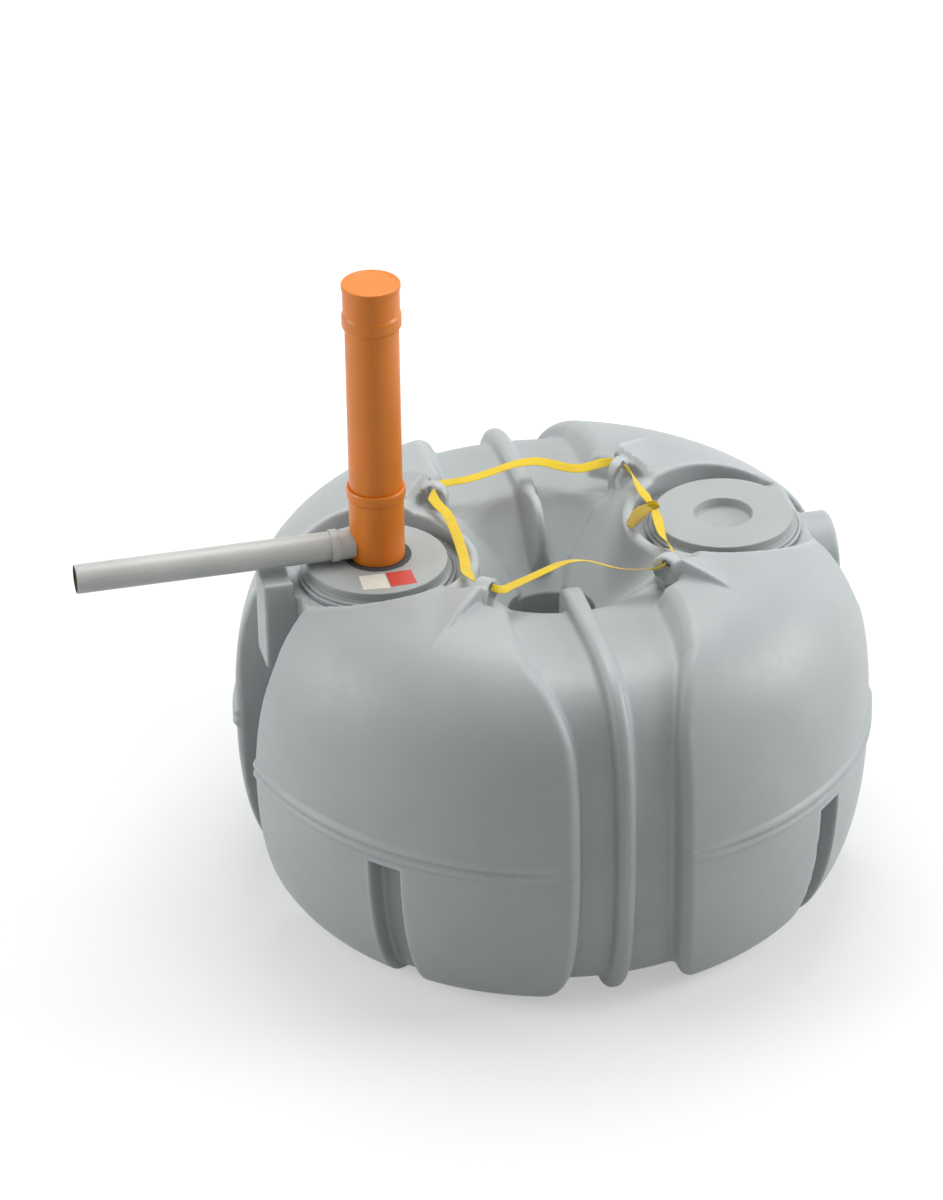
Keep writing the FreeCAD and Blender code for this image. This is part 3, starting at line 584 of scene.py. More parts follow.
        # Outside the lugs a lobe's end wall leans, 50 mm over its height
        lean = np.clip((r - 500) / 150, 0, 1) * 0.55 * (np.clip(waist_ring, 0, 90) - 45)
        plan = plan + lean
        lobe = meet_round(lobe_ring, plan, s.lobe_edge)
        # Double ridge of the belt, which fades towards the waists
        bead = 17 * np.clip((-plan - 50) / 260, 0, 1) ** 0.5
        for level in (s.belt_height + 20, s.belt_height - 20):
            ridge = np.sqrt((r - s.body_radius + 3) ** 2 + (z - level) ** 2) - bead
            lobe = join_round(lobe, np.maximum(ridge, plan + 6), 9)
        # Slots on the diagonals, end grooves and manhole pockets
        turn = math.sqrt(0.5)
        slot = meet_round(np.maximum(np.abs((x - y) * turn) - 65, z - 612), -self.ring("slot", r, z), 16)
        lobe = meet_round(lobe, -slot, 9)
        # The left groove is narrower under its pipe housing
        past = x - self.groove_start
        narrow = np.where(left, np.clip((1150 - z) / 450, 0, 1) * np.clip(past / 180, 0, 1) * 85, 0)
        flare = (y - 180 + narrow - 0.372 * past) * 0.937
        # The right recess is wider at the back than at the front, where it opens out towards the stub
        width = np.where(front, 165 + 0.93 * np.clip(past, 0, 115), 272)
        sloped = (y - width + 0.7 * np.maximum(1120 - z, 0)) * 0.82
        flare = np.where(left, flare, np.minimum(flare, sloped))
        groove = np.maximum(flare, -past)
        # The stub's recess opens into the manhole pocket
        shelf = np.where(left, 200, np.maximum(np.maximum(y - width, pocket_depth), 700 - x))
        lobe = meet_round(lobe, -np.minimum(groove, shelf), 16)
        pocket = np.maximum(from_lid - s.pocket_radius, pocket_depth)
        lobe = meet_round(lobe, -pocket, 13)
        waist = np.maximum(waist_ring, -plan - 20)
        # Hoop with sides that lean in towards its crest. The back one runs on into the well as a keel
        rise = np.clip(waist_ring, 0, np.where(front, 50, 90))
        taper = np.where(front, 0.3 * np.clip((r - 300) / 400, 0, 1), 0.3)
        side = (from_hoop - s.hoop_half + taper * rise) * 0.958
        crest = join_round(self.ring("hoop", y, z), self.ring("keel", y, z), 30)
        crest = np.where(front, self.ring("nose", y, z), crest)
        hoop = np.maximum(meet_round(side, crest, np.clip(21 - 0.12 * (rise - 50), 12, 21)), -z)
        # Lifting lug: upright body with a round top, u runs out along the diagonal and aside towards the waist
        out = math.hypot(self.lug_across, self.lug_along)
        ux, uy = self.lug_across / out, self.lug_along / out
        u, aside = x * ux + y * uy, y * ux - x * uy
        # The front lugs' noses stand out further over the waist than the back ones', and are hollowed deeper
        nose, deep = np.where(front, 60, 27), np.where(front, 42, 18)
        mid, level = 515 + 0.15 * aside, 1446 - 0.2 * (60 - aside)
        down = np.minimum(z - level, 0)
        body = (np.sqrt((u - mid) ** 2 + (z - level - down) ** 2) - 56) * 0.88
        lug = meet_round(body, np.maximum(aside - nose, -12 - aside), 9)
        # Its nose ends in a point below, and hollows under the hole hold the webbing
        point = (1382 + 0.85 * np.abs(u - 522) - 1.3 * (60 - aside) - z) * 0.55
        lug = meet_round(np.maximum(lug, 1275 - z), point, 6)
        front_hollow = np.sqrt(((u - 522) / 42) ** 2 + ((aside - nose - 5) / deep) ** 2 + ((z - 1424) / 38) ** 2)
        back_hollow = np.sqrt(((u - 512) / 40) ** 2 + ((aside + 16) / 14) ** 2 + ((z - 1425) / 34) ** 2)
        # The fin is steep towards the waist and slopes down gently towards the lid, and fades along the crown
        along = np.maximum(u - 585, 0)
        crest_z = np.minimum(1515 - 0.25 * along - 0.0003 * along ** 2, 1488 + 0.9 * (u - 560))
        foot = 56 - 0.06 * along
        ramp = (z - crest_z + 0.42 * np.maximum(foot - aside, 0)) * 0.9
        fin = meet_round(np.maximum(ramp, 1250 - z), (aside - foot) * 0.98, 14)
        fin = np.maximum(fin, np.maximum(562 - u, np.maximum(u - 900, -90 - aside)))
        lug = join_round(lug, fin, 12)
        hole_mid, hole_level = 520 + 0.16 * aside, 1462 + 0.17 * aside
        hole = np.sqrt((u - hole_mid) ** 2 + (z - hole_level) ** 2) - 15
        hole = np.maximum(hole, np.maximum(aside - 90, -60 - aside))
        lug = meet_round(lug, -hole, 4)
        # Pipe housing in the left groove, moulded stub at the right end
        housing = box_distance(np.abs(x - 1008.5) - 108.5 + 10, y - 85 + 10, np.abs(z - 1226) - 176 + 10) - 10
        stub = meet_round(np.sqrt(y * y + (z - 1193) ** 2) - 150, x - 1095, 12)
        stub = np.maximum(stub, 900 - x)
        end = np.where(left, housing, stub)
        hollow = np.minimum(hole, np.minimum((front_hollow - 1) * 38, (back_hollow - 1) * 14))
        return lobe, waist, hoop, lug, end, plan, hollow

    def value(self, x, y, z):
        """Distance to the whole moulding."""
        lobe, waist, hoop, lug, end, _, hollow = self.parts(x, y, z)
        whole = join_round(lobe, waist, 14)
        whole = join_round(whole, hoop, 12)
        whole = join_round(whole, lug, 16)
        whole = meet_round(whole, -hollow, 4)
        whole = join_round(whole, end, 10)
        from_lid = np.sqrt((np.abs(x) - self.lid_across) ** 2 + y * y)
        pocket = np.maximum(from_lid - self.s.pocket_radius, self.pocket_floor - z)
        return np.maximum(whole, -pocket)

    def gradient(self, p, step=1.5):
        """Outward direction at each point."""
        x, y, z = p.T
        g = np.stack([self.value(x + step, y, z) - self.value(x - step, y, z),
                      self.value(x, y + step, z) - self.value(x, y - step, z),
                      self.value(x, y, z + step) - self.value(x, y, z - step)], 1) / (2 * step)
        return g / np.maximum(np.linalg.norm(g, axis=1, keepdims=True), 1e-6)


def net_of(values, origin, pitch):
    """Quads round the zero level of a grid of distances: one point in each cell that the surface crosses."""
    inside = values < 0
    count = np.zeros(np.array(values.shape) - 1, np.int8)
    for i in (0, 1):
        for j in (0, 1):
            for k in (0, 1):
                count += inside[i:values.shape[0] - 1 + i, j:values.shape[1] - 1 + j, k:values.shape[2] - 1 + k]
    active = (count > 0) & (count < 8)
    cells = np.argwhere(active)
    number = np.full(active.shape, -1, np.int64)
    number[active] = np.arange(len(cells))
    total, hits = np.zeros((len(cells), 3)), np.zeros(len(cells))
    for axis in range(3):
        others = [a for a in range(3) if a != axis]
        for i in (0, 1):
            for j in (0, 1):
                start = np.zeros(3, int)
                start[others[0]], start[others[1]] = i, j
                end = start.copy()
                end[axis] = 1
                a = values[tuple((cells + start).T)]
                b = values[tuple((cells + end).T)]
                crossed = (a < 0) != (b < 0)
                share = np.where(crossed, a / np.where(crossed, a - b, 1), 0)
                spot = start + share[:, None] * (end - start)
                total[crossed] += spot[crossed]
                hits[crossed] += 1
    points = origin + pitch * (cells + total / hits[:, None])
    quads = []
    for axis in range(3):
        b, c = [(axis + 1) % 3, (axis + 2) % 3]
        near = [slice(None)] * 3
        far = [slice(None)] * 3
        near[axis], far[axis] = slice(0, -1), slice(1, None)
        first, second = inside[tuple(near)], inside[tuple(far)]
        edges = np.argwhere(first != second)
        edges = edges[(edges[:, b] > 0) & (edges[:, c] > 0)
                      & (edges[:, b] < values.shape[b] - 1) & (edges[:, c] < values.shape[c] - 1)]
        step_b, step_c = np.eye(3, dtype=int)[b], np.eye(3, dtype=int)[c]
        ring = [number[tuple((edges - i * step_b - j * step_c).T)] for i, j in ((1, 1), (0, 1), (0, 0), (1, 0))]
        quad = np.stack(ring, 1)
        outward = first[tuple(edges.T)]
        quad[~outward] = quad[~outward][:, ::-1]
        quads.append(quad)
    return points, np.concatenate(quads)


def shell_mesh(name, points, normals, quads, wall, marks, material):
    """Closed shell: the quads as its skin, a second skin one wall further in, and a rim round its open edges."""
    used, local = np.unique(quads, return_inverse=True)
    quads = local.reshape(quads.shape)
    outer, way = points[used], normals[used]
    n = len(outer)
    edges = np.concatenate([quads[:, [i, (i + 1) % 4]] for i in range(4)])
    key = np.sort(edges, 1)
    code = key[:, 0] * n + key[:, 1]
    _, first, repeat = np.unique(code, return_index=True, return_counts=True)
    rim = edges[first[repeat == 1]]
    band = np.stack([rim[:, 1], rim[:, 0], rim[:, 0] + n, rim[:, 1] + n], 1)
    faces = np.concatenate([quads, quads[:, ::-1] + n, band])
    everything = np.concatenate([outer, outer - way * wall]) * MM
    mesh = bpy.data.meshes.new(name)
    mesh.vertices.add(len(everything))
    mesh.vertices.foreach_set("co", everything.astype(np.float32).ravel())
    mesh.loops.add(faces.size)
    mesh.loops.foreach_set("vertex_index", faces.astype(np.int32).ravel())
    mesh.polygons.add(len(faces))
    mesh.polygons.foreach_set("loop_start", np.arange(0, faces.size, 4, dtype=np.int32))
    mesh.polygons.foreach_set("use_smooth", np.ones(len(faces), bool))
    mesh.update(calc_edges=True)
    mesh.validate()
    for label, value in marks.items():
        attribute = mesh.attributes.new(label, "FLOAT", "POINT")
        attribute.data.foreach_set("value", np.concatenate([value[used], np.zeros(n)]).astype(np.float32))
    if len(mesh.loops) == faces.size:
        at = np.empty(faces.size, np.int32)
        mesh.loops.foreach_get("vertex_index", at)
        both = np.concatenate([way, -way])[at]
        flat = np.empty(len(mesh.polygons) * 3, np.float32)
        mesh.polygons.foreach_get("normal", flat)
        owner = np.repeat(np.arange(len(mesh.polygons)), 4)
        edge_of_rim = owner >= 2 * len(quads)
        both[edge_of_rim] = flat.reshape(-1, 3)[owner[edge_of_rim]]
        mesh.normals_split_custom_set(both.tolist())
    mesh.materials.append(material)
    return new_object(name, mesh)


class SEPTIC_OT_body(bpy.types.Operator):
    """Makes the moulded body: lobes, waists, hoops, lifting lugs, pipe housing and pipe stub"""

    bl_idname = "septic.body"
    bl_label = "Moulded body"

    # Reach of the net round the body, and its lowest layer, which keeps the others off the flat faces
    half_width, height, lowest_layer = 1270.0, 1580.0, -2.37

    def execute(self, context):
        sizes = context.scene.septic_tank
        pitch = sizes.net_pitch
        moulding = Moulding(sizes)
        half = int(self.half_width / pitch) + 1
        xs = (np.arange(-half, half) + 0.5) * pitch
        zs = np.arange(self.lowest_layer, int(self.height / pitch)) * pitch
        x, y, z = np.meshgrid(xs, xs, zs, indexing="ij")
        values = moulding.value(x, y, z).astype(np.float32)
        points, quads = net_of(values, np.array([xs[0], xs[0], zs[0]]), pitch)
        for _ in range(3):
            way = moulding.gradient(points)
            reach = np.clip(moulding.value(*points.T), -0.6 * pitch, 0.6 * pitch)
            points = points - way * reach[:, None]
        self.cut_and_build(moulding, points, quads, sizes)
        return {"FINISHED"}

    def cut_and_build(self, moulding, points, quads, sizes):
        """Sorts the quads by the CAD node that they stand for, and makes one shell of each lot."""
        middle = points[quads].mean(1)
        lobe, waist, hoop, lug, end, plan, _ = moulding.parts(*middle.T)
        x, y, z = middle.T
        right, back, upper = x > 0, y > 0, z > sizes.belt_height
        # 0 lobe, 1 waist, 2 hoop, 3 lug, 4 housing or stub
        label = np.where(plan < 0, 0, 1)
        base = np.minimum(lobe, waist)
        label = np.where((hoop < base) & (np.abs(x) < 80) & (plan > 0), 2, label)
        label = np.where((lug < base) & (z > 1270), 3, label)
        label = np.where((end < base) & (np.abs(x) > 880) & (label == 0), 4, label)
        # The lobes are open under the necks
        open_under = (np.hypot(np.abs(x) - moulding.lid_across, y) < 235) & (np.abs(z - moulding.pocket_floor) < 8)
        normals = moulding.gradient(points)
        deep = points - normals * 22
        clear = points + normals * 22
        # proud: edges that stand out, which get the lighter scuffs and a painted highlight
        marks = {"proud": np.clip((moulding.value(*deep.T) + 22) / 12, 0, 1),
                 # crease: how deep a point lies in a crease, where shade is painted
                 "crease": np.clip((22 - moulding.value(*clear.T)) / 14, 0, 1)}
        grey = finish_of("body")

        def place(name, cad_node, mine):
            """One shell in the place of one CAD node."""
            if not mine.any():
                raise RuntimeError("no skin was found for " + cad_node)
            piece = shell_mesh(name, points, normals, quads[mine], sizes.wall, marks, grey)
            settle(piece, "grey_polyethylene", cad_node)

        levels = ((True, "upper"), (False, "lower"))
        for is_right, side in ((True, "right"), (False, "left")):
            for is_back, depth in ((True, "back"), (False, "front")):
                lot = (right == is_right) & (back == is_back)
                for is_upper, level in levels:
                    name = "%s_lobe_%s_%s" % (side, depth, level)
                    place(name, name + "_shell", lot & (label == 0) & (upper == is_upper) & ~open_under)
                name = "%s_%s_lifting_lug" % (depth, side)
                place("moulded_" + name, name, lot & (label == 3))
        for is_back, depth in ((True, "back"), (False, "front")):
            lot = back == is_back
            for is_upper, level in levels:
                name = "%s_waist_%s" % (depth, level)
                place(name, name + "_shell", lot & (label == 1) & (upper == is_upper))
            place("moulded_%s_hoop" % depth, depth + "_hoop_rib", lot & (label == 2))
        place("moulded_pipe_housing", "left_pipe_housing", ~right & (label == 4))
        place("moulded_pipe_stub", "right_pipe_stub", right & (label == 4))


# Necks and lids


def ring_tree():
    """Geometry Nodes: raised rings round a neck, each one step wider and one pitch lower than the one before."""
    tree = bpy.data.node_groups.new("neck_thread_rings", "GeometryNodeTree")
    face = tree.interface
    face.new_socket("Geometry", in_out="INPUT", socket_type="NodeSocketGeometry")
    for label, default in (("Radius", 0.255), ("Bead", 0.004), ("Pitch", 0.009), ("Step", 0.014), ("First", 1.37)):
        face.new_socket(label, in_out="INPUT", socket_type="NodeSocketFloat").default_value = default
    face.new_socket("Count", in_out="INPUT", socket_type="NodeSocketInt").default_value = 3
    face.new_socket("Across", in_out="INPUT", socket_type="NodeSocketFloat").default_value = 0.67
    face.new_socket("Finish", in_out="INPUT", socket_type="NodeSocketMaterial")
    face.new_socket("Geometry", in_out="OUTPUT", socket_type="NodeSocketGeometry")
    given = node(tree, "NodeGroupInput").outputs
    circle = node(tree, "GeometryNodeCurvePrimitiveCircle", {"Radius": given["Radius"], "Resolution": 96})
    profile = node(tree, "GeometryNodeCurvePrimitiveCircle", {"Radius": given["Bead"], "Resolution": 10})
    ring = node(tree, "GeometryNodeCurveToMesh", {"Curve": circle.outputs["Curve"],
                                                  "Profile Curve": profile.outputs["Curve"]})
    start = node(tree, "ShaderNodeCombineXYZ", {"X": given["Across"], "Z": given["First"]})
    offset = node(tree, "ShaderNodeCombineXYZ", {"Z": maths(tree, "MULTIPLY", given["Pitch"], -1.0)})
    spots = node(tree, "GeometryNodeMeshLine", {"Count": given["Count"], "Start Location": start.outputs["Vector"],
                                                "Offset": offset.outputs["Vector"]})
    index = node(tree, "GeometryNodeInputIndex").outputs["Index"]
    share = maths(tree, "DIVIDE", given["Step"], given["Radius"])
    wider = maths(tree, "MULTIPLY_ADD", index, share, 1.0)
    spread = node(tree, "ShaderNodeCombineXYZ", {"X": wider, "Y": wider, "Z": 1.0})
    copies = node(tree, "GeometryNodeInstanceOnPoints", {"Points": spots.outputs["Mesh"],
                                                         "Instance": ring.outputs["Mesh"],
                                                         "Scale": spread.outputs["Vector"]})
    real = node(tree, "GeometryNodeRealizeInstances", {"Geometry": copies.outputs["Instances"]})
    smooth = node(tree, "GeometryNodeSetShadeSmooth", {"Geometry": real.outputs["Geometry"]})
    painted = node(tree, "GeometryNodeSetMaterial", {"Geometry": smooth.outputs["Geometry"],
                                                     "Material": given["Finish"]})
    node(tree, "NodeGroupOutput", {"Geometry": painted.outputs["Geometry"]})
    return tree


def grown(name, tree, values):
    """Bakes what a node tree makes into a plain mesh object."""
    seed = new_object(name + "_seed", bpy.data.meshes.new(name + "_seed"))
    modifier = seed.modifiers.new("grow", "NODES")
    modifier.node_group = tree
    for item in tree.interface.items_tree:
        if item.in_out == "INPUT" and item.name in values:
            modifier[item.identifier] = values[item.name]
    graph = bpy.context.evaluated_depsgraph_get()
    mesh = bpy.data.meshes.new_from_object(seed.evaluated_get(graph))
    mesh.name = name
    bpy.data.objects.remove(seed)
    return new_object(name, mesh)


class SEPTIC_OT_necks(bpy.types.Operator):
    """Makes both manhole necks with their stepped foot and thread rings"""

    bl_idname = "septic.necks"
    bl_label = "Manhole necks"

    def execute(self, context):
        s = context.scene.septic_pipes
        grey = finish_of("body")
        tree = ring_tree()
        for side, across in (("right", s.lid_line), ("left", -s.lid_line)):
            outline = rounded([(235, 1345, 0), (292, 1345, 1), (292, 1358, 5), (280, 1362, 3), (279, 1372, 4),
                               (262, 1376, 3), (255, 1379, 3), (255, 1404, 3), (235, 1404, 3)])
            neck = turned(side + "_neck", outline, (across, 0, 0), s.segments, grey)
            settle(neck, "grey_polyethylene", side + "_manhole_neck")
            rings = grown(side + "_neck_thread", tree, {"Across": across * MM, "Finish": grey, "Count": 3,
                                                        "Radius": 0.262, "Bead": 0.005, "Pitch": 0.0085,
                                                        "Step": 0.0145, "First": 1.3775})
            settle(rings, "grey_polyethylene")
        return {"FINISHED"}


class SEPTIC_OT_lids(bpy.types.Operator):
    """Makes the dished right lid, and the left lid with the hole for the riser"""

    bl_idname = "septic.lids"
    bl_label = "Manhole lids"

    def execute(self, context):
        s = context.scene.septic_pipes
        cover = finish_of("lid")
        top, under = s.lid_plane, s.lid_plane - 9
        skirt = [(255.3, under, 3), (255.3, top - 38, 1), (s.lid_radius, top - 38, 3), (s.lid_radius, top, 5)]
        dish = rounded([(0, top - s.dish_depth - 9, 0), (s.dish_radius + 9, top - s.dish_depth - 9, 6),
                        (s.dish_radius + 9, under, 4)] + skirt
                       + [(s.dish_radius, top, 6), (s.dish_radius - 3, top - s.dish_depth, 9),
                          (0, top - s.dish_depth, 0)])
        lid = turned("right_lid_cover", dish, (s.lid_line, 0, 0), s.segments, cover)
        settle(lid, "grey_polyethylene", "right_lid")
        hole = 117.3
        outline = rounded([(hole, under, 0.5)] + skirt + [(hole, top, 2)])
        offset = (s.riser_line + s.lid_line, s.riser_offset)
        shift = []
        for r, _ in outline:
            share = min(1.0, max(0.0, (255.3 - r) / (255.3 - hole)))
            shift.append((offset[0] * share, offset[1] * share))
        lid = turned("left_lid_cover", outline, (-s.lid_line, 0, 0), s.segments, cover, shift=shift)
        settle(lid, "grey_polyethylene", "left_lid")
        self.label(s)
        return {"FINISHED"}

    def label(self, s):
        """Two bare fields of a vinyl label on the left lid, in front of the riser."""
        z = s.lid_plane
        fields = (("label_pale", "label_pale_field", [(-765, -116), (-668, -121), (-668, -228), (-769, -217)]),
                  ("label_red", "label_red_field", [(-664, -118), (-567, -117), (-565, -218), (-664, -222)]))
        for finish, name, corners in fields:
            vertices, faces, steps = [], [], 10
            for level in (z + 0.02, z + 0.45):
                for i in range(steps + 1):
                    for j in range(steps + 1):
                        a, b = i / steps, j / steps
                        lean = [(1 - a) * (1 - b) * corners[0][k] + a * (1 - b) * corners[1][k]
                                + a * b * corners[2][k] + (1 - a) * b * corners[3][k] for k in (0, 1)]
                        vertices.append((lean[0], lean[1], level))
            row = steps + 1
            layer = row * row
            for i in range(steps):
                for j in range(steps):
                    q = i * row + j
                    faces.append((q, q + row, q + row + 1, q + 1))
                    faces.append((q + layer, q + 1 + layer, q + row + 1 + layer, q + row + layer))
            rim = ([i * row for i in range(row)] + [steps * row + j for j in range(1, row)]
                   + [i * row + steps for i in range(steps - 1, -1, -1)] + [j for j in range(steps - 1, 0, -1)])
            for a, b in zip(rim, rim[1:] + rim[:1]):
                faces.append((a, a + layer, b + layer, b))
            field = mesh_piece(name, vertices, faces, finish_of(finish), smooth=False)
            settle(field, "grey_polyethylene")


# Riser and side pipe


class SEPTIC_OT_riser(bpy.types.Operator):
    """Makes the orange riser: lip seal, branch, pipe, coupling and plug"""

    bl_idname = "septic.riser"
    bl_label = "Riser"

    def execute(self, context):
        s = context.scene.septic_pipes
        orange, seal = finish_of("riser"), finish_of("seal")
        centre = (s.riser_line, s.riser_offset, 0)
        outlines = {
            "riser_seal": [(103.3, 1394, 1), (117, 1394, 2), (117, 1415.3, 0.5), (127, 1415.3, 1), (127, 1418, 2),
                           (116, 1420.5, 2), (103.3, 1420.5, 1)],
            "riser_branch": [(95, 1300, 1), (103, 1300, 2), (103, 1664, 3), (109, 1672, 3), (111, 1682, 6),
                             (111, 1706, 6), (108, 1715, 2), (100.3, 1715, 2), (100.3, 1600, 1), (95, 1600, 1)],
            "riser_pipe": [(95, 1600.3, 1), (100, 1600.3, 1), (100, 2465, 1), (95, 2465, 1)],
            "riser_coupling": [(100.3, 2376, 1), (105, 2376, 2), (110, 2386, 5), (110, 2428, 6), (105, 2438, 4),
                               (105, 2533, 2), (100.3, 2533, 1)],
            "riser_plug": [(0, 2541.5, 0), (95, 2541.5, 3), (95, 2477, 1), (100, 2477, 1), (100, 2533.3, 0.5),
                           (109, 2533.3, 2), (109, 2553.5, 5), (97, 2553.5, 1.5), (94, 2551.5, 1.5),
                           (0, 2551.5, 0)],
        }
        names = {"riser_seal": "lip_seal", "riser_branch": "branch_socket", "riser_pipe": "upright_pipe",
                 "riser_coupling": "double_socket", "riser_plug": "socket_plug"}
        for cad_node, corners in outlines.items():
            finish, slot = (seal, "black_rubber") if cad_node == "riser_seal" else (orange, "orange_pipe")
            settle(turned(names[cad_node], rounded(corners), centre, s.segments, finish), slot, cad_node)
        return {"FINISHED"}


class SEPTIC_OT_side_pipe(bpy.types.Operator):
    """Makes the grey side pipe with its adapter and collar"""

    bl_idname = "septic.side_pipe"
    bl_label = "Side pipe"

    def execute(self, context):
        s = context.scene.septic_pipes
        grey = finish_of("side_pipe")
        centre = (s.riser_line, s.riser_offset, s.side_height)
        outlines = {
            "side_pipe_adapter": [(49.8, 90, 1), (57, 90, 1), (57, 165, 1), (49.8, 165, 1)],
            "side_pipe_collar": [(57.3, 151, 1), (61.5, 151, 3), (61.5, 181, 3), (57.3, 181, 1)],
            "side_pipe": [(51.8, 165.3, 1), (55, 165.3, 1), (55, 1134, 1), (53.5, 1140, 0.8), (51.8, 1140, 0.6)],
        }
        names = {"side_pipe_adapter": "drain_spigot", "side_pipe_collar": "spigot_ring", "side_pipe": "drain_pipe"}
        for cad_node, corners in outlines.items():
            piece = turned(names[cad_node], rounded(corners), centre, s.segments, grey, axis="-X")
            if cad_node == "side_pipe":
                self.stain_bore(piece, centre)
            settle(piece, "grey_pipe", cad_node)
        return {"FINISHED"}

    def stain_bore(self, piece, centre):
        """Gives the faces of the bore the stained finish."""
        piece.data.materials.append(finish_of("bore"))
        for polygon in piece.data.polygons:
            spot = polygon.center / MM
            if math.hypot(spot.y - centre[1], spot.z - centre[2]) < 52.2:
                polygon.material_index = 1


# Lifting sling


def route_line(name, points, per_span=14):
    """Points along the NURBS spline whose control points are the route's points, in millimetres."""
    curve = bpy.data.curves.new(name, "CURVE")
    curve.dimensions = "3D"
    curve.resolution_u = per_span
    spline = curve.splines.new("NURBS")
    spline.points.add(len(points) - 1)
    for spot, p in zip(spline.points, points):
        spot.co = (p[0] * MM, p[1] * MM, p[2] * MM, 1.0)
    spline.order_u = 3
    spline.use_endpoint_u = True
    holder = new_object(name, curve)
    graph = bpy.context.evaluated_depsgraph_get()
    mesh = bpy.data.meshes.new_from_object(holder.evaluated_get(graph))
    line = [v.co.copy() / MM for v in mesh.vertices]
    bpy.data.objects.remove(holder)
    bpy.data.meshes.remove(mesh)
    return line


def strap_mesh(name, line, twist, width, thickness, material, pinch=1.0):
    """Flat webbing along a line. twist gives (share of the length, degrees) pairs of the width's turn from level, and
    pinch is the share of the width that is left where the webbing is gathered at both ends."""
    gaps = [0.0]
    for a, b in zip(line, line[1:]):
        gaps.append(gaps[-1] + (b - a).length)
    total = gaps[-1]
    shares = np.array([t[0] for t in twist])
    angles = np.radians([t[1] for t in twist])
    corner = thickness / 2
    half = width / 2
    profile = []
    for cx, cy, start in ((half - corner, 0, -90), (-half + corner, 0, 90)):
        for k in range(5):
            angle = math.radians(start + 45 * k)
            profile.append((cx + corner * math.cos(angle), cy + corner * math.sin(angle)))
    for cross in (0.5, 0.0, -0.5):
        profile.insert(5 + int((0.5 - cross) * 2), (cross * half, corner * 1.06))
    for cross in (-0.5, 0.0, 0.5):
        profile.append((cross * half, -corner * 1.06))
    vertices, coordinates = [], []
    for i, p in enumerate(line):
        heading = (line[min(i + 1, len(line) - 1)] - line[max(i - 1, 0)]).normalized()
        level = Vector((0, 0, 1)).cross(heading).normalized()
        rise = heading.cross(level).normalized()
        share = gaps[i] / total
        angle = float(np.interp(share, shares, angles))
        across = level * math.cos(angle) + rise * math.sin(angle)
        out = rise * math.cos(angle) - level * math.sin(angle)
        gathered = pinch + (1 - pinch) * min(1.0, min(gaps[i], total - gaps[i]) / 55)
        for a, b in profile:
            vertices.append(p + across * a * gathered + out * b)
            coordinates.append((a * MM, gaps[i] * MM))
    n = len(profile)
    faces = []
    for i in range(len(line) - 1):
        for k in range(n):
            m = (k + 1) % n
            faces.append((i * n + k, i * n + m, (i + 1) * n + m, (i + 1) * n + k))
    faces.append(tuple(range(n - 1, -1, -1)))
    last = (len(line) - 1) * n
    faces.append(tuple(range(last, last + n)))
    strap = mesh_piece(name, vertices, faces, material)
    layer = strap.data.uv_layers.new(name="strap")
    for loop in strap.data.loops:
        layer.data[loop.index].uv = coordinates[loop.vertex_index]
    return strap, total


# Route points of the sling's spans: the CAD source's, moved a little to follow the photograph
ROUTES = {
    "back_strap": [(-352, 392, 1466), (-312, 412, 1458), (-245, 400, 1466), (-165, 414, 1470), (-90, 432, 1478),
                   (-20, 452, 1481), (50, 460, 1477), (105, 448, 1467), (160, 412, 1458), (215, 390, 1456),
                   (265, 400, 1458), (315, 404, 1464), (352, 392, 1468)],
    "front_strap": [(-332, -418, 1476), (-300, -430, 1462), (-256, -397, 1455), (-184, -365, 1458),
                    (-109, -338, 1467), (-43, -314, 1475), (8, -311, 1478), (55, -320, 1476), (106, -350, 1470),
                    (155, -384, 1463), (210, -398, 1458), (262, -405, 1457), (302, -430, 1464),
                    (332, -418, 1476)],
    "left_strap": [(-376, 357, 1462), (-388, 300, 1470), (-378, 240, 1466), (-357, 172, 1463),
                   (-359, 48, 1462), (-366, -73, 1462), (-376, -192, 1462), (-390, -250, 1464), (-390, -300, 1470),
                   (-376, -357, 1462)],
    "right_strap_back": [(376, 357, 1462), (390, 300, 1472), (392, 240, 1468), (390, 190, 1468),
                         (395, 114, 1468), (400, 56, 1466)],
    "right_strap_front": [(400, -6, 1466), (400, -40, 1466), (388, -120, 1464), (377, -205, 1463),
                          (384, -255, 1466), (386, -300, 1472), (376, -357, 1462)],
}
# Turn of the width from level, in degrees, at shares of each span's length
TWISTS = {
    "back_strap": [(0, 60), (0.08, 10), (0.4, 6), (0.6, 24), (0.9, 26), (1, 60)],
    "front_strap": [(0, 60), (0.1, 4), (0.4, -4), (0.58, -26), (0.9, -30), (1, -60)],
    "left_strap": [(0, 60), (0.1, 8), (0.5, 0), (0.9, -6), (1, -60)],
    "right_strap_back": [(0, -80), (0.35, -55), (0.75, -12), (1, 0)],
    "right_strap_front": [(0, 0), (0.3, -18), (0.65, -48), (1, -75)],
}
# Loose tails of the knot
TAILS = {
    "webbing_long_tail": ([(398, 24, 1472), (352, -10, 1474), (312, -42, 1464), (282, -76, 1448)],
                          [(0, -20), (0.5, -40), (1, -46)]),
    "webbing_short_tail": ([(398, 26, 1464), (357, 6, 1462), (322, -10, 1450), (296, -26, 1434)],
                           [(0, -10), (0.5, -18), (1, -26)]),
}


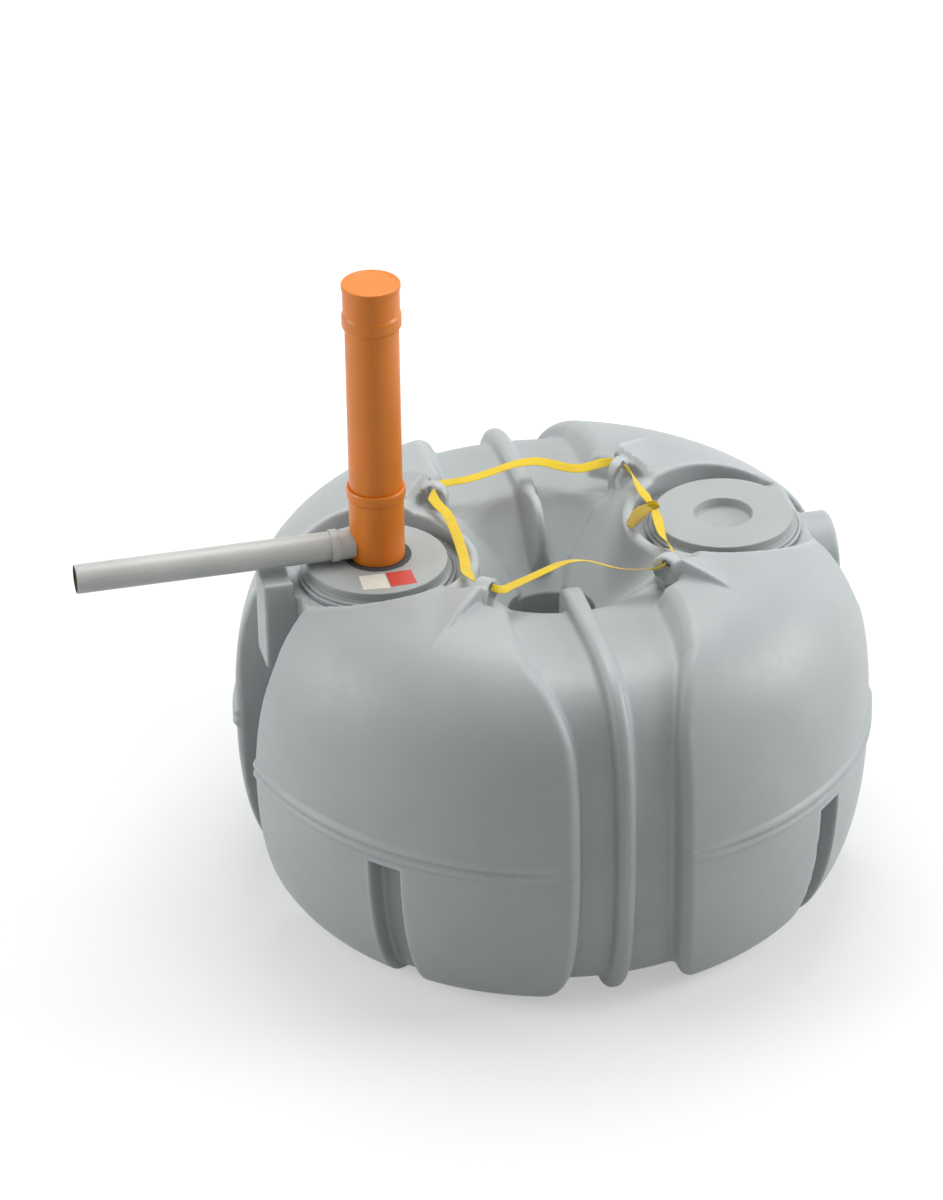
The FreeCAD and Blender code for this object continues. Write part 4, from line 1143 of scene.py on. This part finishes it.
class SEPTIC_OT_sling(bpy.types.Operator):
    """Makes the yellow webbing sling through the four lifting lugs, with its knot"""

    bl_idname = "septic.sling"
    bl_label = "Lifting sling"

    def execute(self, context):
        s = context.scene.septic_sling
        yellow = finish_of("webbing")
        knot = self.knot(s, yellow)
        settle(knot, "yellow_webbing", "strap_knot")
        for cad_node, points in ROUTES.items():
            line = route_line(cad_node + "_route", points)
            strap, length = strap_mesh("webbing_" + cad_node, line, TWISTS[cad_node], s.width, s.thickness, yellow,
                                       pinch=0.62)
            settle(strap, "yellow_webbing", cad_node)
        return {"FINISHED"}

    def knot(self, s, material):
        """Overhand knot: a band wound twice round the joined ends, and its two loose tails."""
        line = []
        for k in range(49):
            angle = 2 * math.pi * 2 * k / 48
            line.append(Vector((400 + 16 * math.cos(angle), 25 - 17 + 34 * k / 48, 1466 + 10 * math.sin(angle))))
        wound, _ = strap_mesh("webbing_knot", line, [(0, 90), (1, 90)], s.width * 0.6, s.thickness, material)
        for name, (points, twist) in TAILS.items():
            # The tails take the darker copy of the webbing, which is painted shade
            tail, _ = strap_mesh(name, route_line(name + "_route", points), twist, s.width * 1.2, s.thickness,
                                 finish_of("shaded_tail_webbing"), pinch=0.5)
            settle(tail, "yellow_webbing")
        return wound


# Stage


class SEPTIC_OT_stage(bpy.types.Operator):
    """Sets the camera at the photograph's angle, the pale floor and the soft studio light"""

    bl_idname = "septic.stage"
    bl_label = "Camera, floor and light"

    def execute(self, context):
        s = context.scene.septic_stage
        context.scene.view_settings.view_transform = "Standard"
        self.camera(context, s)
        self.floor()
        self.sky(context, s)
        self.lamp("top_lamp", (0.6, 1.4, 7.2), 4.5, s.top_power)
        self.lamp("right_lamp", (7.6, -1.8, 3.8), 3.6, s.right_power)
        self.lamp("left_lamp", (-7.4, 0.8, 3.0), 3.6, s.left_power)
        return {"FINISHED"}

    def camera(self, context, s):
        """Camera aimed beside the middle of the lids, so that the tank sits low in the frame."""
        a, e = -s.turn, s.elevation
        back = Vector((-math.sin(a) * math.cos(e), -math.cos(a) * math.cos(e), math.sin(e)))
        level = Vector((math.cos(a), -math.sin(a), 0))
        rise = level.cross(-back)
        right = level * math.cos(s.roll) + rise * math.sin(s.roll)
        up = rise * math.cos(s.roll) - level * math.sin(s.roll)
        place = back * s.distance - right * s.aim[0] - up * s.aim[1] + Vector((0, 0, 1.415))
        data = bpy.data.cameras.new("photo_camera")
        data.sensor_width, data.lens = 36.0, s.lens
        data.clip_start, data.clip_end = 0.5, 200.0
        camera = new_object("photo_camera", data)
        camera.matrix_world = Matrix((
            (right.x, up.x, back.x, place.x), (right.y, up.y, back.y, place.y), (right.z, up.z, back.z, place.z),
            (0, 0, 0, 1)))
        context.scene.camera = camera

    def floor(self):
        """Round pale floor. It shows white to the camera, a little less near the tank, where it keeps its shadow."""
        reach, steps = 60000, 64
        ring = [(reach * math.cos(2 * math.pi * k / steps), reach * math.sin(2 * math.pi * k / steps), -1)
                for k in range(steps)]
        material, tree, shader = new_material("pale_floor_paint")
        place = node(tree, "ShaderNodeTexCoord").outputs["Object"]
        distance = node(tree, "ShaderNodeVectorMath", {0: place}, operation="LENGTH").outputs["Value"]
        glow = maths(tree, "MULTIPLY", self.seen(tree), ranged(tree, distance, 1.5, 7.0, 0.42, 0.92))
        feed(tree, shader, {"Base Color": (0.55, 0.55, 0.55, 1), "Roughness": 0.9, "Emission Color": (1, 1, 1, 1),
                            "Emission Strength": glow})
        disc = mesh_piece("floor", ring, [tuple(range(steps))], material, smooth=False)

    def seen(self, tree):
        """1 for rays from the camera or off gloss or through glass, otherwise 0."""
        path = node(tree, "ShaderNodeLightPath").outputs
        both = maths(tree, "MAXIMUM", path["Is Camera Ray"], path["Is Glossy Ray"])
        return maths(tree, "MAXIMUM", both, path["Is Transmission Ray"])

    def sky(self, context, s):
        """White to the camera, and a soft even light for the tank."""
        world = bpy.data.worlds.new("studio_room")
        world.use_nodes = True
        tree = world.node_tree
        tree.nodes.clear()
        room = node(tree, "ShaderNodeBackground", {"Color": (0.97, 1.0, 1.0, 1), "Strength": s.sky_strength})
        white = node(tree, "ShaderNodeBackground", {"Color": (1, 1, 1, 1), "Strength": 1.0})
        mix = node(tree, "ShaderNodeMixShader", {0: self.seen(tree), 1: room.outputs["Background"],
                                                 2: white.outputs["Background"]})
        node(tree, "ShaderNodeOutputWorld", {"Surface": mix.outputs["Shader"]})
        context.scene.world = world

    def lamp(self, name, place, size, power):
        """Square soft lamp that faces the tank."""
        data = bpy.data.lights.new(name, "AREA")
        data.energy, data.size = power, size
        lamp = new_object(name, data)
        lamp.location = place
        lamp.rotation_euler = (Vector((0, 0, 0.7)) - Vector(place)).to_track_quat("-Z", "Y").to_euler()


# Panel and registration


class SEPTIC_PT_panel(bpy.types.Panel):
    """Lists the sizes, the colours and the pieces of the septic tank"""

    bl_idname = "SEPTIC_PT_panel"
    bl_label = "Septic Tank"
    bl_space_type = "VIEW_3D"
    bl_region_type = "UI"
    bl_category = "Septic Tank"

    def draw(self, context):
        for group in GROUPS:
            box = self.layout.box()
            box.label(text=group[1].__doc__)
            for name in group[1].__annotations__:
                box.prop(getattr(context.scene, group[0]), name)
        for operator in OPERATORS:
            self.layout.operator(operator.bl_idname)


GROUPS = (("septic_tank", TankSizes), ("septic_pipes", PipeSizes), ("septic_sling", SlingSizes),
          ("septic_finishes", Finishes), ("septic_stage", StageSizes))
OPERATORS = (SEPTIC_OT_stage, SEPTIC_OT_sling, SEPTIC_OT_body, SEPTIC_OT_necks, SEPTIC_OT_lids, SEPTIC_OT_riser,
             SEPTIC_OT_side_pipe)


def register():
    for name, group in GROUPS:
        bpy.utils.register_class(group)
        setattr(bpy.types.Scene, name, PointerProperty(type=group))
    for operator in OPERATORS:
        bpy.utils.register_class(operator)
    bpy.utils.register_class(SEPTIC_PT_panel)


def unregister():
    bpy.utils.unregister_class(SEPTIC_PT_panel)
    for operator in reversed(OPERATORS):
        bpy.utils.unregister_class(operator)
    for name, group in reversed(GROUPS):
        delattr(bpy.types.Scene, name)
        bpy.utils.unregister_class(group)


def main():
    register()
    bpy.ops.septic.stage()
    bpy.ops.septic.sling()
    bpy.ops.septic.body()
    bpy.ops.septic.necks()
    bpy.ops.septic.lids()
    bpy.ops.septic.riser()
    bpy.ops.septic.side_pipe()


if __name__ == "__main__":
    main()
